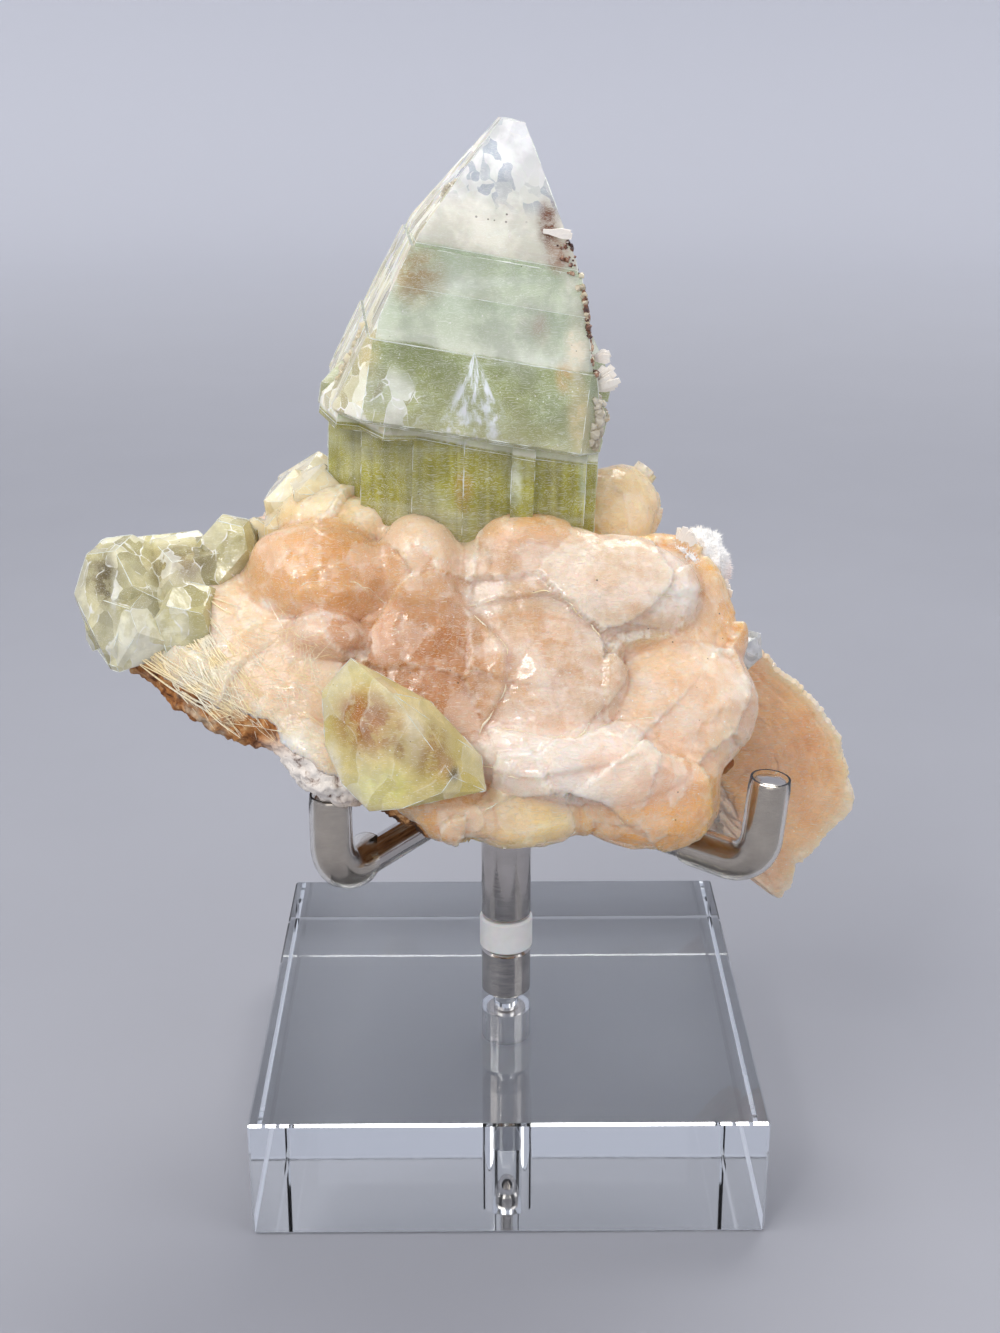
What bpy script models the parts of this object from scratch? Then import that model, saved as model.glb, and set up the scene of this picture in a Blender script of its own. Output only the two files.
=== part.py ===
"""An apophyllite cluster on stilbite, carried by a small stand of clear acrylic and bent steel arms.

Lengths are in metres, +Z is up and the front is -Y. Places are first given in millimetres from the stand's
axis, at the height of the underside, and everything is moved at the end so that the origin lies under the
middle of the object's box.
"""

import math

import bmesh
import bpy
from mathutils import Matrix, Vector, noise

MM = 0.001
GAP = 0.3 * MM
TURN_STEPS = 24

# The stand
BASE_SIDE = 76.2 * MM
BASE_HEIGHT = 19.05 * MM
BASE_CHAMFER = 0.45 * MM
COUNTERBORE_RADIUS = 4.0 * MM
COUNTERBORE_DEPTH = 12.0 * MM
SCREW_HEAD_RADIUS = 3.2 * MM
SCREW_HEAD_HEIGHT = 2.5 * MM
SCREW_SHANK_RADIUS = 1.7 * MM
SCREW_REACH = 5.0 * MM
SCREW_SOCKET_RADIUS = 1.44 * MM
SCREW_SOCKET_DEPTH = 1.4 * MM
POST_RADIUS = 3.97 * MM
RING_RADIUS = 4.25 * MM
RING_LOW = 27.5 * MM
RING_HIGH = 33.0 * MM
STUD_RADIUS = 2.0 * MM
STUD_REACH = 1.5 * MM
HUB_RADIUS = 6.5 * MM
HUB_LOW = 52.5 * MM
HUB_HIGH = 59.8 * MM
HUB_EDGE = 1.0 * MM
ARM_HEIGHT = 56.7 * MM
ROD_RADIUS = 2.38 * MM
SLEEVE_RADIUS = 3.0 * MM
BORE_RADIUS = ROD_RADIUS + GAP
BEND_RADIUS = 5.5 * MM
BEND_STEPS = 6
# Each arm: where it leaves the hub, the corner that it bends round, its prong's tip and its sleeve's start.
ARMS = {
    "left": ((-4.2, -4.2), (-24.7, -33.6), (-24.7, -33.6, 69.6), (-20.3, -24.2)),
    "right": ((4.6, -4.0), (35.3, -30.6), (36.4, -30.9, 70.6), (26.2, -22.7)),
    "back": ((0.4, 6.0), (2.2, 30.2), (2.4, 31.2, 71.5), (1.6, 19.5)),
}

# The specimen's main crystal
MAIN_AXIS = (7.6, 1.0, 41.3)
MAIN_MIDDLE = (-7.0, -1.0, 115.0)
MAIN_SPIN = 5.0
SKIRT_HALF = 18.6
SKIRT_SLOPE = 16.5
TIP_HALF = 1.7
TIP_SLOPE = 29.6
TIP_HEIGHT = 42.3
STEP_HEIGHTS = (12.0, 24.5)
STEP_DEPTH = 0.45
CORNER_REACH = 1.26
PRISM_AXIS = (1.6, 0.0, 41.0)
PRISM_HEIGHT = 104.5
PRISM_DEPTH = 6.0

# The whole stone before it is parted: the point of each lump that faces out, its half width, half height and
# half thickness, and where it faces: degrees to the right of the front, degrees above level, and its turn.
LOBES = {
    "left peach": ((-27.3, -24.0, 100.0), (10.4, 6.8, 6.5), (-6, 30, 4)),
    "small centre": ((-11.6, -24.5, 99.6), (5.8, 8.2, 6.0), (8, 25, -8)),
    "tan shoulder": ((-25.2, -14.5, 105.8), (9.4, 5.2, 7.0), (-10, 40, -4)),
    "wedge": ((4.6, -19.0, 104.2), (9.2, 3.6, 6.0), (0, 45, 4)),
    "tan right": ((17.6, -6.0, 105.0), (7.2, 7.0, 7.0), (20, 35, 0)),
    "slab top": ((9.0, -24.0, 97.0), (18.4, 8.4, 5.0), (2, 30, -1)),
    "slab right": ((24.0, -20.5, 91.5), (10.5, 12.0, 4.6), (18, 28, -24)),
    "cheek": ((-11.8, -31.0, 86.0), (10.4, 13.0, 6.0), (-4, 26, 0)),
    "plate": ((4.0, -30.0, 87.2), (11.6, 10.4, 4.5), (0, 28, 0)),
    "right lobe": ((25.4, -29.0, 79.0), (12.6, 11.0, 8.0), (18, 18, -24)),
    "ridge": ((8.0, -36.0, 76.0), (16.0, 5.4, 5.0), (0, 22, 8)),
    "lower lobe": ((20.4, -35.4, 68.4), (11.2, 9.0, 8.0), (8, 6, 4)),
    "lower left": ((1.6, -36.0, 66.6), (9.4, 6.0, 7.0), (0, 4, -4)),
    "left body": ((-38.6, -26.5, 88.4), (16.5, 10.5, 5.5), (-14, 38, 24)),
    "front foot": ((-10.8, -38.6, 68.2), (9.6, 4.4, 6.0), (-6, -2, 20)),
    "lens": ((-25.4, -30.6, 92.8), (5.4, 2.8, 4.0), (-4, 30, 0)),
    "rim left": ((-54.0, -22.5, 86.2), (8.0, 3.4, 7.0), (-30, 10, 20)),
    "rim end": ((-57.5, -18.0, 87.6), (4.5, 3.0, 6.0), (-50, 10, 16)),
    "rim middle": ((-39.0, -28.0, 80.6), (9.0, 3.6, 7.0), (-20, 10, 28)),
    "rim front": ((-26.6, -38.4, 75.0), (8.0, 4.4, 6.0), (-14, 6, 36)),
    "back left": ((-32.0, 19.0, 93.0), (18.0, 9.0, 12.0), (190, 20, 10)),
    "back middle": ((2.0, 27.0, 84.0), (22.0, 15.0, 14.0), (178, 14, 0)),
    "back right": ((22.0, 18.0, 80.0), (13.0, 13.0, 12.0), (155, 12, 0)),
    "crown": ((-4.0, 4.0, 101.5), (16.0, 8.0, 8.0), (180, 70, 0)),
    "back ledge left": ((-24.0, 17.0, 100.5), (10.0, 6.0, 8.0), (205, 42, 12)),
    "back ledge middle": ((-3.0, 21.0, 98.0), (10.5, 6.4, 8.0), (182, 36, -6)),
    "back ledge right": ((15.0, 17.5, 97.0), (9.0, 7.0, 8.0), (160, 38, 8)),
    "seat": ((2.0, -2.0, 60.4), (20.0, 16.0, 10.0), (0, -90, 0)),
}
# The bulk behind the lumps: its corners, down the front and then round the back.
CORE = (
    (-7.0, -19.5, 100.5), (20.0, -13.0, 98.5), (32.0, -16.0, 79.0), (28.0, -24.5, 66.0),
    (20.0, -28.0, 62.5), (-3.0, -30.5, 63.0), (-19.0, -34.0, 73.0), (-31.0, -28.5, 79.5),
    (-55.0, -17.0, 88.0), (-50.0, -12.0, 97.0), (-30.0, -16.0, 100.0), (-44.0, 8.0, 93.0),
    (-22.0, 20.0, 97.0), (16.0, 19.0, 96.0), (25.0, 4.0, 93.0), (26.0, 18.0, 70.0),
    (0.0, 23.0, 67.0), (-28.0, 17.0, 80.0), (12.0, 2.0, 60.5), (-10.0, 0.0, 60.5))
VOXEL = 1.0 * MM
SEAT_HEIGHT = 60.2
SEAT_HALF = 24.0
STONE_FACES = 2700
# How high the parting of stilbite from matrix lies along the front and the back, at these places across.
PARTING_ACROSS = (-70, -48, -33, -22, -15, -6, 10, 60)
PARTING_FRONT = (90, 83.5, 80.5, 75, 70.5, 62, 52, 45)
PARTING_BACK = (94, 94, 93, 92, 91, 90, 89, 82)
PARTING_FRONT_Y = -38.0
PARTING_BACK_Y = 24.0


def clear_scene():
    for old in list(bpy.data.objects):
        bpy.data.objects.remove(old, do_unlink=True)


def new_collection(name, helper=False):
    made = bpy.data.collections.new(name)
    made.hide_render = helper
    bpy.context.scene.collection.children.link(made)
    return made


clear_scene()
PARTS = new_collection("apophyllite_cluster")
CUTTERS = new_collection("cutters", helper=True)


def material(name, colour, roughness, metallic=0.0, transmission=0.0, ior=1.5):
    made = bpy.data.materials.new(name)
    made.use_nodes = True
    shader = made.node_tree.nodes["Principled BSDF"]
    shader.inputs["Base Color"].default_value = (*colour, 1.0)
    shader.inputs["Roughness"].default_value = roughness
    shader.inputs["Metallic"].default_value = metallic
    shader.inputs["Transmission Weight"].default_value = transmission
    shader.inputs["IOR"].default_value = ior
    made.diffuse_color = (*colour, 1.0)
    made.metallic = metallic
    made.roughness = roughness
    return made


ACRYLIC = material("acrylic", (0.93, 0.95, 0.96), 0.02, transmission=1.0, ior=1.49)
STEEL = material("polished_steel", (0.62, 0.60, 0.58), 0.15, metallic=1.0)
NYLON = material("white_nylon", (0.86, 0.86, 0.84), 0.45)
VINYL = material("clear_vinyl", (0.9, 0.9, 0.88), 0.12, transmission=0.9, ior=1.5)
STILBITE = material("stilbite", (0.80, 0.50, 0.32), 0.35)
MATRIX = material("matrix_rock", (0.32, 0.18, 0.10), 0.9)
GREEN_GLASS = material("green_apophyllite", (0.55, 0.68, 0.50), 0.12, transmission=0.7, ior=1.54)
YELLOW_GLASS = material("yellow_apophyllite", (0.66, 0.62, 0.28), 0.12, transmission=0.7, ior=1.54)
CREAM_GLASS = material("cream_apophyllite", (0.80, 0.74, 0.58), 0.2, transmission=0.5, ior=1.54)
WHITE_TUFT = material("white_mordenite", (0.90, 0.86, 0.84), 0.95)


def add_object(name, bm, finish, folder=PARTS):
    mesh = bpy.data.meshes.new(name)
    bm.to_mesh(mesh)
    bm.free()
    made = bpy.data.objects.new(name, mesh)
    if finish:
        mesh.materials.append(finish)
    folder.objects.link(made)
    if folder is CUTTERS:
        made.hide_render = True
        made.display_type = "WIRE"
    return made


def applied(obj):
    """Makes the object's evaluated mesh its own, and drops its modifiers."""
    bpy.context.view_layer.update()
    graph = bpy.context.evaluated_depsgraph_get()
    mesh = bpy.data.meshes.new_from_object(obj.evaluated_get(graph))
    obj.modifiers.clear()
    obj.data = mesh
    return obj


def combine(target, other, operation, solver="EXACT"):
    """Adds one Boolean modifier to the target."""
    cut = target.modifiers.new(operation.lower() + "_" + other.name, "BOOLEAN")
    cut.operation = operation
    cut.solver = solver
    cut.object = other


def joined(name, pieces, finish, folder=PARTS):
    """The Boolean union of closed pieces, each a bmesh. EXACT leaves open edges where many crystals cross."""
    bodies = [add_object(f"{name}_{i}", bm, finish, CUTTERS) for i, bm in enumerate(pieces)]
    whole = bodies[0]
    for other in bodies[1:]:
        combine(whole, other, "UNION", "MANIFOLD")
        applied(whole)
        bpy.data.objects.remove(other, do_unlink=True)
    bm = bmesh.new()
    bm.from_mesh(whole.data)
    bpy.data.objects.remove(whole, do_unlink=True)
    bmesh.ops.dissolve_limit(bm, angle_limit=math.radians(0.5), verts=bm.verts, edges=bm.edges)
    return add_object(name, bm, finish, folder)


def smooth(obj, angle=35.0):
    obj.data.shade_smooth()
    obj.data.set_sharp_from_angle(angle=math.radians(angle))
    return obj


def turned(name, profile, finish, closed=False, folder=PARTS):
    """A profile of (radius, height) turned round the stand's axis: its outer side runs downwards."""
    bm = bmesh.new()
    points = [bm.verts.new((radius, 0, height)) for radius, height in profile]
    for first, second in zip(points, points[1:]):
        bm.edges.new((first, second))
    if closed:
        bm.edges.new((points[-1], points[0]))
    made = add_object(name, bm, finish, folder)
    screw = made.modifiers.new("turn", "SCREW")
    screw.axis = "Z"
    screw.steps = TURN_STEPS
    screw.render_steps = TURN_STEPS
    screw.use_merge_vertices = True
    screw.merge_threshold = 0.00001
    return smooth(applied(made))


def tube_mesh(name, route, radius, folder=CUTTERS):
    """A round rod along a route, as a closed mesh."""
    curve = bpy.data.curves.new(name, "CURVE")
    curve.dimensions = "3D"
    curve.bevel_depth = radius
    curve.bevel_resolution = 3
    curve.use_fill_caps = True
    spline = curve.splines.new("POLY")
    spline.points.add(len(route) - 1)
    for point, place in zip(spline.points, route):
        point.co = (*place, 1.0)
    guide = bpy.data.objects.new(name + "_guide", curve)
    CUTTERS.objects.link(guide)
    bpy.context.view_layer.update()
    graph = bpy.context.evaluated_depsgraph_get()
    mesh = bpy.data.meshes.new_from_object(guide.evaluated_get(graph))
    bpy.data.objects.remove(guide, do_unlink=True)
    bm = bmesh.new()
    bm.from_mesh(mesh)
    bmesh.ops.remove_doubles(bm, verts=bm.verts, dist=0.00001)
    bmesh.ops.recalc_face_normals(bm, faces=bm.faces)
    return add_object(name, bm, None, folder)


def acrylic_base():
    bm = bmesh.new()
    bmesh.ops.create_cube(bm, size=1.0)
    bmesh.ops.scale(bm, vec=(BASE_SIDE, BASE_SIDE, BASE_HEIGHT), verts=bm.verts)
    bmesh.ops.translate(bm, vec=(0, 0, BASE_HEIGHT / 2), verts=bm.verts)
    bmesh.ops.bevel(bm, geom=bm.edges[:], offset=BASE_CHAMFER, segments=1, affect="EDGES")
    base = add_object("acrylic_base", bm, ACRYLIC)
    hole = turned("counterbore", (
        (0, COUNTERBORE_DEPTH), (COUNTERBORE_RADIUS, COUNTERBORE_DEPTH),
        (COUNTERBORE_RADIUS, -BASE_HEIGHT), (0, -BASE_HEIGHT)), None, folder=CUTTERS)
    shank = turned("screw_hole", (
        (0, 2 * BASE_HEIGHT), (SCREW_SHANK_RADIUS + GAP, 2 * BASE_HEIGHT),
        (SCREW_SHANK_RADIUS + GAP, -BASE_HEIGHT), (0, -BASE_HEIGHT)), None, folder=CUTTERS)
    combine(base, hole, "DIFFERENCE")
    combine(base, shank, "DIFFERENCE")
    return applied(base)


def base_screw():
    head_top = COUNTERBORE_DEPTH - GAP
    head_bottom = head_top - SCREW_HEAD_HEIGHT
    tip = BASE_HEIGHT + SCREW_REACH
    socket_top = head_bottom + SCREW_SOCKET_DEPTH
    return turned("base_screw", (
        (0, tip), (SCREW_SHANK_RADIUS, tip), (SCREW_SHANK_RADIUS, head_top), (SCREW_HEAD_RADIUS, head_top),
        (SCREW_HEAD_RADIUS, head_bottom), (SCREW_SOCKET_RADIUS, head_bottom),
        (SCREW_SOCKET_RADIUS, socket_top), (0, socket_top)), STEEL)


def posts():
    foot = BASE_HEIGHT + GAP
    hole = SCREW_SHANK_RADIUS + GAP
    deep = BASE_HEIGHT + SCREW_REACH + GAP
    lower_top = RING_LOW - GAP
    stud_low = lower_top - STUD_REACH
    turned("lower_post", (
        (0, stud_low), (STUD_RADIUS + GAP, stud_low), (STUD_RADIUS + GAP, lower_top),
        (POST_RADIUS, lower_top),
        (POST_RADIUS, foot), (hole, foot), (hole, deep), (0, deep)), STEEL)
    turned("post_ring", (
        (STUD_RADIUS + GAP, RING_HIGH), (RING_RADIUS, RING_HIGH), (RING_RADIUS, RING_LOW),
        (STUD_RADIUS + GAP, RING_LOW)), NYLON, closed=True)
    upper_low = RING_HIGH + GAP
    top = HUB_LOW - GAP
    stud_end = stud_low + GAP
    turned("upper_post", (
        (0, top), (POST_RADIUS, top), (POST_RADIUS, upper_low), (STUD_RADIUS, upper_low),
        (STUD_RADIUS, stud_end), (0, stud_end)), STEEL)


def arm_route(name):
    """From inside the hub out along the arm, round the bend and up the prong."""
    start, corner, tip, _ = ARMS[name]
    start = Vector((*start, ARM_HEIGHT / MM)) * MM
    corner = Vector((*corner, ARM_HEIGHT / MM)) * MM
    tip = Vector(tip) * MM
    back = (start - corner).normalized()
    up = (tip - corner).normalized()
    half = back.angle(up) / 2
    run = BEND_RADIUS / math.tan(half)
    centre = corner + (back + up).normalized() * (BEND_RADIUS / math.sin(half))
    first = corner + back * run - centre
    last = corner + up * run - centre
    axis = first.cross(last).normalized()
    sweep = first.angle(last)
    bend = []
    for i in range(BEND_STEPS + 1):
        turn = Matrix.Rotation(sweep * i / BEND_STEPS, 3, axis)
        bend.append(centre + turn @ first)
    return [start, *bend, tip]


def arm(name):
    route = arm_route(name)
    rod = tube_mesh("arm_" + name, route, ROD_RADIUS, PARTS)
    rod.data.materials.append(STEEL)
    smooth(rod)
    sleeve_start = Vector((*ARMS[name][3], ARM_HEIGHT / MM)) * MM
    up = (route[-1] - route[-2]).normalized()
    rim = route[-1] + up * GAP
    sleeve = tube_mesh("sleeve_" + name, [sleeve_start, *route[1:-1], rim], SLEEVE_RADIUS, PARTS)
    sleeve.data.materials.append(VINYL)
    bore = tube_mesh("bore_" + name, [route[0], *route[1:-1], rim + up * BEND_RADIUS], BORE_RADIUS)
    combine(sleeve, bore, "DIFFERENCE")
    smooth(applied(sleeve))
    return rod


def arm_room(name):
    """What the stone leaves free round an arm, its bend and its prong."""
    route = arm_route(name)
    up = (route[-1] - route[-2]).normalized()
    return tube_mesh("room_" + name, [*route[:-1], route[-1] + up * 3 * GAP], SLEEVE_RADIUS + GAP)


def arm_hub():
    hub = turned("arm_hub", (
        (0, HUB_HIGH), (HUB_RADIUS - HUB_EDGE, HUB_HIGH), (HUB_RADIUS, HUB_HIGH - HUB_EDGE),
        (HUB_RADIUS, HUB_LOW), (0, HUB_LOW)), STEEL)
    for name, (start, corner, _, _) in ARMS.items():
        inner = Vector((*start, ARM_HEIGHT / MM)) * MM
        outer = Vector((*corner, ARM_HEIGHT / MM)) * MM
        inward = (inner - outer).normalized()
        socket = tube_mesh("socket_" + name, [inner + inward * GAP, outer], BORE_RADIUS)
        combine(hub, socket, "DIFFERENCE")
    return smooth(applied(hub))


def facing(azimuth, rise):
    """A direction, in degrees to the right of the front and degrees above level."""
    across, up = math.radians(azimuth), math.radians(rise)
    return Vector((math.sin(across) * math.cos(up), -math.cos(across) * math.cos(up), math.sin(up)))


def frame_of(axis, spin):
    """Turns +Z onto an axis, keeping the front in front, after a turn about +Z."""
    up = Vector(axis).normalized()
    right = Vector((0, 1, 0)).cross(up).normalized()
    back = up.cross(right)
    return Matrix((right, back, up)).transposed().to_4x4() @ Matrix.Rotation(math.radians(spin), 4, "Z")


def block(planes, place, grow=0.0, reach=160.0):
    """A closed crystal: a cube cut by planes, given as outward directions and distances in mm."""
    bm = bmesh.new()
    bmesh.ops.create_cube(bm, size=reach)
    for direction, distance in planes:
        everything = bm.verts[:] + bm.edges[:] + bm.faces[:]
        cut = bmesh.ops.bisect_plane(
            bm, geom=everything, plane_co=direction * (distance + grow), plane_no=direction, clear_outer=True)
        rim = [edge for edge in cut["geom_cut"] if isinstance(edge, bmesh.types.BMEdge)]
        if rim:
            bmesh.ops.edgeloop_fill(bm, edges=rim)
    bmesh.ops.transform(bm, matrix=Matrix.Scale(MM, 4) @ place, verts=bm.verts)
    bmesh.ops.recalc_face_normals(bm, faces=bm.faces)
    return bm


def placed(middle, axis=(0, 0, 1), spin=0.0):
    return Matrix.Translation(Vector(middle)) @ frame_of(axis, spin)


def tetragonal(half, slope, tip, root, corner=1.0, cap_spin=0.0):
    """The planes of a square crystal: its sides, its corners, its pointed cap, its flat tip and its root."""
    sides = [(facing(turn, 0), half) for turn in (0, 90, 180, 270)]
    corners = []
    if corner < 1.0:
        corners = [(facing(turn, 0), half * math.sqrt(2) * corner) for turn in (45, 135, 225, 315)]
    cap = math.radians(slope)
    reach = half * math.cos(cap)
    caps = [(facing(turn + cap_spin, slope), reach) for turn in (0, 90, 180, 270)]
    return sides + corners + caps + [(Vector((0, 0, 1)), tip), (Vector((0, 0, -1)), root)]


SLANT = math.tan(math.radians(TIP_SLOPE))


def pyramid_planes(outset, tip, root):
    """A blunt tip cap over a steeper skirt, both four sided, with narrow faces down the corners."""
    planes = []
    for slope, half in ((SKIRT_SLOPE, SKIRT_HALF), (TIP_SLOPE, TIP_HALF + TIP_HEIGHT * SLANT)):
        lean = math.cos(math.radians(slope))
        planes += [(facing(turn, slope), (half + outset) * lean) for turn in (0, 90, 180, 270)]
        corner_slope = slope * 0.75
        reach = (half + outset) * CORNER_REACH * math.cos(math.radians(corner_slope))
        planes += [(facing(turn, corner_slope), reach) for turn in (45, 135, 225, 315)]
    planes.append((facing(90, -8), SKIRT_HALF - 0.6))
    return planes + [(Vector((0, 0, 1)), tip), (Vector((0, 0, -1)), root)]


def main_pieces(grow):
    """The tall crystal: a stepped pyramid over a prism of upright columns."""
    place = placed(MAIN_MIDDLE, MAIN_AXIS, MAIN_SPIN)
    low, high = STEP_HEIGHTS
    pieces = [
        block(pyramid_planes(0.0, TIP_HEIGHT, -1.0), place, grow),
        block(pyramid_planes(STEP_DEPTH, high, -1.3), place, grow),
        block(pyramid_planes(2 * STEP_DEPTH, low, -1.6), place, grow),
    ]
    # Small crystals grown parallel to the large one at its lower left and right.
    for middle, half, tip, spin in (
        ((-20.6, -10.5, 119.4), 4.4, 9.5, 20),
        ((-21.6, -3.0, 120.4), 4.0, 10.5, -14),
        ((-16.0, -15.2, 119.0), 3.2, 7.0, 38),
        ((10.0, -6.0, 117.6), 3.2, 9.0, 30),
        ((11.6, 3.0, 120.5), 3.2, 9.0, 12),
    ):
        pieces.append(block(tetragonal(half, 30, tip, 3.0), placed(middle, MAIN_AXIS, spin), grow))
    # Columns of the prism, left to right: place across, half width, how far forward, turn, how far down.
    for across, half, forward, spin, root in (
        (-19.6, 3.4, 11.6, -34, 8.4), (-15.2, 4.1, 15.0, -16, 8.9), (-8.8, 4.3, 16.5, -4, 9.3),
        (-2.2, 4.5, 16.8, 3, 8.7), (1.7, 1.6, 17.7, 1, 9.6), (5.7, 4.0, 15.7, 10, 8.2),
        (8.4, 1.9, 13.6, 22, 9.1),
    ):
        planes = [
            (facing(0, 0), PRISM_DEPTH), (facing(180, 0), PRISM_DEPTH + half * 0.37),
            (facing(90, 0), half), (facing(270, 0), half),
            (Vector((0, 0, 1)), 11.0 + half * 0.31), (Vector((0, 0, -1)), root)]
        place = placed((across, PRISM_DEPTH - forward, PRISM_HEIGHT), PRISM_AXIS, spin)
        pieces.append(block(planes, place, grow))
    back = [(facing(turn, 0), 13.0) for turn in (0, 90, 180, 270)]
    back += [(Vector((0, 0, 1)), 10.3), (Vector((0, 0, -1)), 7.7)]
    pieces.append(block(back, placed((-6.0, 1.0, PRISM_HEIGHT), PRISM_AXIS, 7), grow))
    return pieces


def left_pieces(grow):
    """Crystals grown together at the left end."""
    rows = (
        ((-53.4, -16.5, 93.0), (-3, -1, 10), 22, 7.2, 30, 8.2, 6.0),
        ((-46.0, -14.5, 94.4), (1, -2, 10), -12, 6.4, 26, 5.8, 7.0),
        ((-40.0, -12.5, 98.0), (2, 0, 10), 38, 4.8, 30, 5.0, 7.0),
        ((-52.0, -20.0, 91.0), (-2, -5, 10), 10, 5.8, 34, 5.0, 3.5),
        ((-49.0, -7.0, 92.6), (-1, 3, 10), 32, 6.8, 28, 6.4, 7.0),
        ((-45.0, -20.0, 91.0), (2, -6, 10), 42, 5.2, 30, 4.6, 4.5),
        ((-56.4, -14.5, 90.4), (-5, 1, 10), 50, 4.4, 30, 5.2, 4.0),
    )
    return [
        block(tetragonal(half, slope, tip, root, corner=0.9, cap_spin=45), placed(middle, axis, spin), grow)
        for middle, axis, spin, half, slope, tip, root in rows]


def hull(corners, grow):
    """The crystal with these corners, in mm, each face moved out by grow."""
    bm = bmesh.new()
    for corner in corners:
        bm.verts.new(corner)
    bmesh.ops.convex_hull(bm, input=bm.verts)
    bmesh.ops.recalc_face_normals(bm, faces=bm.faces)
    middle = sum((Vector(corner) for corner in corners), Vector()) / len(corners)
    planes = [(face.normal.copy(), face.normal.dot(face.verts[0].co - middle)) for face in bm.faces]
    bm.free()
    return block(planes, Matrix.Translation(middle), grow)


def front_pieces(grow):
    """The yellow-green crystal low at the front: apex at the upper left, blade end at the lower right."""
    return [hull((
        (-21.0, -37.0, 91.2), (-25.0, -37.0, 86.6), (-24.6, -39.0, 79.4), (-22.4, -40.5, 74.6),
        (-18.8, -41.5, 71.0), (-14.6, -41.6, 71.4), (-9.2, -41.4, 73.6), (-7.6, -41.0, 75.8),
        (-15.6, -40.4, 87.6), (-10.6, -35.5, 84.4), (-3.8, -36.0, 76.6), (-3.2, -38.6, 72.6),
        (-16.0, -32.0, 84.0), (-21.0, -31.0, 78.0), (-8.0, -33.0, 74.0)), grow)]


def shoulder_pieces(grow):
    """Cream to clear blocks at the left foot of the prism."""
    rows = (
        ((-26.6, -8.0, 106.6), (1, 0, 10), 12, 4.4, 7.6, 8.0),
        ((-30.4, -5.5, 105.4), (-1, -1, 10), -8, 4.2, 6.0, 9.0),
        ((-36.4, -8.0, 99.8), (-1, -1, 10), 16, 3.0, 4.0, 5.0),
        ((-27.6, -1.0, 106.0), (0, 2, 10), 24, 5.0, 8.0, 8.0),
        ((-31.4, -9.6, 102.2), (0, -1, 10), 4, 3.4, 4.6, 6.0),
    )
    return [
        block(tetragonal(half, 52, tip, root, corner=0.93), placed(middle, axis, spin), grow)
        for middle, axis, spin, half, tip, root in rows]


def chip_pieces(grow):
    return [
        block(tetragonal(2.2, 40, 2.6, 5.0, corner=0.88), placed((35.4, -11.0, 83.4), (5, -2, 6), 20), grow),
        block(tetragonal(1.6, 40, 2.2, 4.0, corner=0.9), placed((33.6, -11.5, 84.6), (3, -2, 6), 50), grow)]


def lump(front, size, turn):
    """A rounded lump whose outermost point is given, in mm."""
    azimuth, rise, spin = turn
    wide, tall, thick = size
    out = facing(azimuth, rise)
    right = Vector((0, 0, 1)).cross(-facing(azimuth, 0)).normalized() * -1
    up = right.cross(-out)
    bm = bmesh.new()
    bmesh.ops.create_icosphere(bm, subdivisions=4, radius=1.0)
    bmesh.ops.scale(bm, vec=(wide, thick, tall), verts=bm.verts)
    tilt = Matrix.Rotation(math.radians(spin), 4, "Y")
    axes = Matrix((right, -out, up)).transposed().to_4x4()
    middle = Vector(front) - out * thick
    bmesh.ops.transform(
        bm, matrix=Matrix.Scale(MM, 4) @ Matrix.Translation(middle) @ axes @ tilt, verts=bm.verts)
    bmesh.ops.recalc_face_normals(bm, faces=bm.faces)
    return bm


def along(value, places, heights):
    """The height at a place, read between the given ones."""
    for i in range(len(places) - 1):
        if value <= places[i + 1] or i == len(places) - 2:
            share = (value - places[i]) / (places[i + 1] - places[i])
            return heights[i] + (heights[i + 1] - heights[i]) * share
    return heights[-1]


def parting_height(x, y):
    front = along(x, PARTING_ACROSS, PARTING_FRONT)
    back = along(x, PARTING_ACROSS, PARTING_BACK)
    share = min(1.0, max(0.0, (y - PARTING_FRONT_Y) / (PARTING_BACK_Y - PARTING_FRONT_Y)))
    share = share * share * (3 - 2 * share)
    return front + (back - front) * share + 0.8 * math.sin(x * 0.55) * math.cos(y * 0.4)


def parting_block(name, lift, top):
    """A block on one side of the parting, whose wavy face lies at the parting plus lift."""
    bm = bmesh.new()
    bmesh.ops.create_grid(bm, x_segments=13, y_segments=8, size=0.5)
    for vert in bm.verts:
        x, y = vert.co.x * 160.0, vert.co.y * 110.0
        vert.co = Vector((x, y, parting_height(x, y) + lift)) * MM
    sheet = bmesh.ops.extrude_face_region(bm, geom=bm.faces[:])
    moved = [item for item in sheet["geom"] if isinstance(item, bmesh.types.BMVert)]
    for vert in moved:
        vert.co.z = top * MM
    bmesh.ops.recalc_face_normals(bm, faces=bm.faces)
    return add_object(name, bm, None, CUTTERS)


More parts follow.
